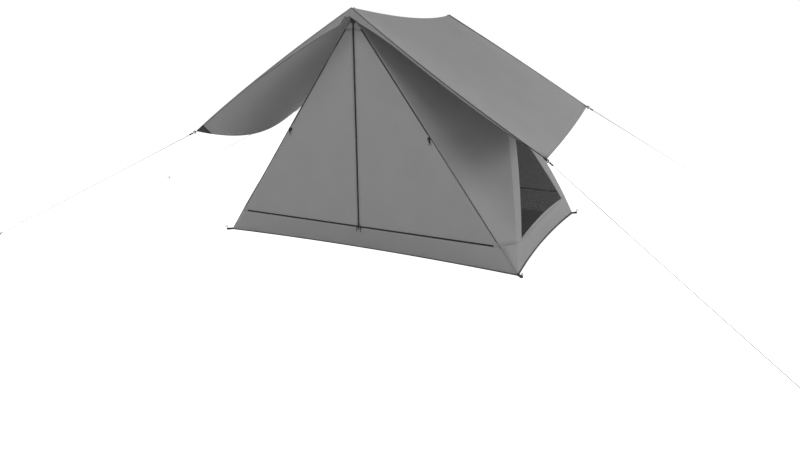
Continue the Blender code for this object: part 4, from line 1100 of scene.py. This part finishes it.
def fly_point(name, u, v):
    """Point of the fly. u runs along the ridge from the front, v down from the ridge."""
    skew = WING_SKEW[name]
    peak = 1 / (1 + skew)
    hang = FLY_RIDGE_SAG * u ** SAG_RISE * (1 - u) ** SAG_FALL / SAG_AT_LOWEST
    ridge = Vector((0.0, FLY_APEX_Y * (2 * u - 1), FLY_APEX_HEIGHT - hang - REAR_APEX_DROP * u))
    edge = FLY_FRONT_CORNER.lerp(FLY_REAR_CORNER, u)
    sag = u * (1 - u) ** skew / (peak * (1 - peak) ** skew) * v ** 3
    point = ridge.lerp(edge, v)
    point.x -= WING_DRAW_IN[name] * sag
    point.z -= WING_DROP[name] * sag
    bow = 4 * v * (1 - v)
    point.y -= FLY_FRONT_BOW * bow * (1 - u) ** 4
    point.y += FLY_REAR_BOW * bow * u ** 4
    return placed(point, dict(SIDES)[name], -1)


def fly_surface(name, u, v):
    """The same with its unevenness: slack, and folds that run beside the end seams."""
    point = fly_point(name, u, v)
    slack = min(1.0, 12 * u) * min(1.0, 12 * (1 - u)) * min(1.0, 8 * v) * min(1.0, 10 * (1 - v))
    point.z += ripple((point.x * 0.8, point.y, 0.0), 3.5, FLY_RIPPLE, 9.0) * slack
    for distance in (u * FLY_LENGTH, (1 - u) * FLY_LENGTH):
        depth = SEAM_DIP * (1 - v) ** 1.5
        point.z -= depth * exp(-((distance - 0.012) / 0.007) ** 2)
        point.z += depth * 0.6 * exp(-((distance - 0.034) / 0.012) ** 2)
    return point


def brim_depth(name, end, t):
    """Depth of the brim: deepest at the apex, where the front left one is parted by a notch."""
    kind = name if end < 0 else "rear"
    taper = 1 - min(t / BRIM_END[kind], 1) ** BRIM_FADE[kind]
    if kind != "left":
        return (BRIM_DEPTH_EDGE + BRIM_MORE[kind] * exp(-(t / 0.15) ** 2)) * taper
    middle = 1 - 0.30 * exp(-(t / 0.012) ** 2)
    notch = 1 - 0.55 * exp(-((t - 0.024) / 0.014) ** 2)
    return (BRIM_DEPTH_EDGE + BRIM_MORE[kind] * exp(-t / 0.2)) * taper * middle * notch


def brim_ways(end, v):
    """Directions in which the brim hangs and faces: it leans out, less so down the wing."""
    lean = BRIM_LEAN * (1 - v)
    hang = Vector((0.0, end * sin(lean), -cos(lean)))
    return hang, Vector((0.0, end * cos(lean), sin(lean)))


def brim_point(name, end, v, top, share):
    """Point of the brim below a point of the fly's end. It is puckered near the apex."""
    point = top + brim_ways(end, v)[0] * brim_depth(name, end, v) * share
    pucker = sin(v * 95 + dict(SIDES)[name]) * exp(-v * 9)
    point.y += end * APEX_CREASE * pucker * share
    return point


def from_end(name, end, back, v):
    """Point of the fly at some metres in from one of its ends."""
    return fly_surface(name, back / FLY_LENGTH if end < 0 else 1 - back / FLY_LENGTH, v)


# Polyester, woven and coated with silicone: mid grey and a little smoother than the walls,
# with rows of thread along the ridge and the hems
fly_cloth = cloth_material(
    "silicone_coated_polyester", "#797979", "#848484", "#4a4a4a", 0.72,
    ((1, 0.004), (1, 0.011), (1, WING_LENGTH - 0.016)), THIN)

near_edge = [0.0, 0.003, 0.006, 0.009, 0.012, 0.015, 0.018, 0.021, 0.024, 0.028, 0.033, 0.040]
along = near_edge + spread(0.04, 0.96, 56)[1:-1] + [1 - step for step in reversed(near_edge)]
down = [0.003 * step for step in range(20)] + spread(0.06, 1.0, 58)
places = [("left", v) for v in reversed(down[1:])] + [("right", v) for v in down]
rows = [[(fly_surface(name, u, v), (u * FLY_LENGTH, v * WING_LENGTH)) for u in along] for name, v in places]
patches = [rows]
for end, column in ((-1, 0), (1, -1)):
    brim = []
    for share in spread(0, 1, BRIM_STEPS):
        row = []
        for (name, v), line in zip(places, rows):
            point = brim_point(name, end, v, line[column][0], share)
            place = (dict(SIDES)[name] * v * WING_LENGTH, brim_depth(name, end, v) * share)
            row.append((point, place))
        brim.append(row)
    patches.append(brim)
fly = cloth_object("fly", patches, CLOTH, fly_cloth)
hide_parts("fly_sheet")

for quarter, end, side_name, side in QUARTERS:
    # A dark strip of the dark tape cloth hangs a little down the brim, runs over each end edge of the fly
    # and reaches a little way onto it, along the dark line beside the groove there
    strip = []
    inner = EDGE_STRIP_WIDTH[end]
    for v in down:
        hang, ahead = brim_ways(end, v)
        laid = [from_end(side_name, end, inner * share, v) for share in (0.0, 0.3, 0.65, 1.0)]
        uphill = from_end(side_name, end, 0.0, max(v - 0.01, 0.0))
        downhill = from_end(side_name, end, 0.0, min(v + 0.01, 1.0))
        above = (laid[-1] - laid[0]).cross(downhill - uphill).normalized()
        above *= 1 if above.z > 0 else -1
        edge = (above + ahead).normalized()
        route = [laid[0] + hang * EDGE_DOWN + ahead * EDGE_LIFT, laid[0] + edge * EDGE_LIFT * 1.3]
        route += [point + above * EDGE_LIFT for point in laid[1:]]
        strip.append([(point, (EDGE_DOWN * step, v * WING_LENGTH)) for step, point in enumerate(route)])
    # Painted shade: a thin dark strip of the dark tape cloth along the brim's lower edge, drawn where the
    # edge throws a soft shadow line
    hem = []
    shade_line_end = BRIM_SHADE_LINE_END[side_name if end < 0 else "rear"]
    for v in [place for place in down if place < shade_line_end]:
        top = from_end(side_name, end, 0.0, v) + BACK * end * EDGE_LIFT
        share = 1 - BRIM_SHADE_LINE_WIDTH / max(brim_depth(side_name, end, v), BRIM_SHADE_LINE_WIDTH * 2)
        low = brim_point(side_name, end, v, top, 1.0)
        high = brim_point(side_name, end, v, top, share)
        hem.append([(high, (0.0, v * WING_LENGTH)), (low, (BRIM_SHADE_LINE_WIDTH, v * WING_LENGTH))])
    for name, rows in (("fly_end_dark_strip", strip), ("brim_painted_shade_line", hem)):
        cloth_object(f"{name}_{quarter}", [rows], SEAM_TAPE_CLOTH, seam_tape)
for end_name, end in ENDS:
    tip = spigot_point(end, SPIGOT_TOP[end_name] + EYELET_LIFT)
    name = f"fly_eyelet_{end_name}"
    ring(name, tip, spigot_direction(end), EYE_MAJOR, EYE_MINOR, plated)


# Fly corners: a three-cornered piece of black coated cloth over and under each corner, and
# webbing that holds a moulded ring for the guyline.
PATCH_UNDER = 0.088
PATCH_OVER = 0.040
PATCH_STEPS = 6
RING_CENTRE = 0.0155
RING_MAJOR = 0.0075
RING_MINOR = 0.0031
RING_BACK = 0.002
STRAP_ROOT = 0.016
STRAP_UPPER = 0.001
STRAP_LOWER = 0.0035
CORNER_STRAP_HALF = 0.0055
CORNER_WEBBING = 0.0008
PATCH_CLOTH = 0.00042

# The same coated polyester, dyed black: smooth and faintly shiny
corner_cloth = cloth_material("black_coated_polyester", "#141414", "#1f1f1f", "#343434", 0.6)

for quarter, end, side_name, side in QUARTERS:
    guy_way = (GUY_END[quarter] - GUY_START[quarter]).normalized()
    across = guy_way.cross(UP).normalized()
    for label, leg, lift in (("under", PATCH_UNDER, -CLOTH), ("over", PATCH_OVER, CLOTH)):
        rows = []
        for i in range(PATCH_STEPS + 1):
            row = []
            for j in range(PATCH_STEPS + 1):
                far = leg * i / PATCH_STEPS
                back = far * j / PATCH_STEPS
                v = 1 - far * (1 - j / PATCH_STEPS) / WING_LENGTH
                row.append((from_end(side_name, end, back, v) + UP * lift, (back, v)))
            rows.append(row)
        name = f"corner_patch_{label}_{quarter}"
        cloth_object(name, [rows], PATCH_CLOTH, corner_cloth)
    ring_centre = GUY_START[quarter] - guy_way * (RING_MAJOR + RING_MINOR + GAP + RING_BACK)
    ring_piece = ring(
        f"corner_ring_{quarter}", ring_centre, across, RING_MAJOR, RING_MINOR, acetal)
    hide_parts(f"fly_corner_tab_{quarter}")
    corner = ring_centre - guy_way * RING_CENTRE
    nose = ring_centre - guy_way * RING_MAJOR
    lift = across.cross(guy_way)
    root = corner - guy_way * STRAP_ROOT
    bend = arc(nose, guy_way, lift, RING_MINOR + CORNER_WEBBING, 8, pi / 2, -pi)
    route = [root + lift * STRAP_UPPER] + bend + [root - lift * STRAP_LOWER]
    strap(f"corner_webbing_{quarter}", route, across, CORNER_STRAP_HALF, CORNER_WEBBING)


# Knee straps: webbing sewn to the knee of each side wall and buttoned under the fly, which
# pulls the wall outwards.
STRAP_HALF = 0.0075
STRAP_CLEARANCE = 0.0015
for side_name, side in SIDES:
    knee = placed(KNEE, side, -1)
    tries = [(0.4 + 0.01 * a, 0.5 + 0.01 * b) for a in range(21) for b in range(36)]
    u, v = min(tries, key=lambda at: (fly_point(side_name, *at) - knee).length)
    target = fly_surface(side_name, u, v)
    way = (target - knee).normalized()
    route = spread(knee, target - way * STRAP_CLEARANCE, 8)
    strap(f"knee_strap_{side_name}", route, BACK, STRAP_HALF, WEBBING)


# Studio: a pale floor that fades into white surroundings, even light from all round and two
# large soft lamps, one to the right and one in front and above.
FLOOR_FADE_START = 3.5
FLOOR_FADE_END = 7.0
SKY = 0.66
LAMPS = (("side", Vector((5.6, 2.2, 2.3)), 155.0), ("front", Vector((-1.2, -3.3, 6.8)), 215.0))
LAMP_AIM = Vector((0.0, 0.0, 0.6))
LAMP_SIZE = 2.4
FLOOR_GLOW = 0.5

world = bpy.data.worlds.new("studio")
scene.world = world
world.use_nodes = True
tree = world.node_tree


def shown_rays(tree):
    """1 for what the camera sees, directly, in gloss or through glass, and 0 for light."""
    path = add(tree, "LightPath").node.outputs
    seen = add(
        tree, "Math", operation="MAXIMUM", _0=path["Is Camera Ray"], _1=path["Is Glossy Ray"])
    return add(tree, "Math", operation="MAXIMUM", _0=seen, _1=path["Is Transmission Ray"])


background = tree.nodes["Background"]
background.inputs["Color"].default_value = (1.0, 1.0, 1.0, 1.0)
add(tree, "MapRange", to=background.inputs["Strength"], Value=shown_rays(tree), To_Min=SKY, To_Max=1.0)

floor_paint, tree, shader = new_material("studio_floor", "#f6f6f6", 0.9)
seen = shown_rays(tree)
shader.inputs["Emission Color"].default_value = (1.0, 1.0, 1.0, 1.0)
add(tree, "Math", to=shader.inputs["Emission Strength"], operation="MULTIPLY", _0=seen, _1=FLOOR_GLOW)
place = add(tree, "TexCoord", "Object")
far = add(tree, "VectorMath", "Value", operation="LENGTH", _0=place)
fade = add(tree, "MapRange", Value=far, From_Min=FLOOR_FADE_START, From_Max=FLOOR_FADE_END)
share = add(tree, "Math", operation="MULTIPLY", _0=fade, _1=seen)
white = add(tree, "Emission", Strength=1.0)
surface = tree.nodes["Material Output"].inputs["Surface"]
add(tree, "MixShader", to=surface, _0=share, _1=shader.outputs[0], _2=white)
bpy.ops.object.select_all(action="DESELECT")
bpy.ops.mesh.primitive_plane_add(size=60.0, location=(0.0, 0.0, -0.0005))
ground = bpy.context.object
ground.name = "studio_floor"
ground.data.materials.append(floor_paint)

for name, place, power in LAMPS:
    lamp_data = bpy.data.lights.new(f"{name}_lamp", "AREA")
    lamp_data.shape = "DISK"
    lamp_data.size = LAMP_SIZE
    lamp_data.energy = power
    lamp = bpy.data.objects.new(f"{name}_lamp", lamp_data)
    scene.collection.objects.link(lamp)
    lamp.location = place
    lamp.rotation_euler = (LAMP_AIM - place).to_track_quat("-Z", "Y").to_euler()

scene.view_settings.view_transform = "Standard"
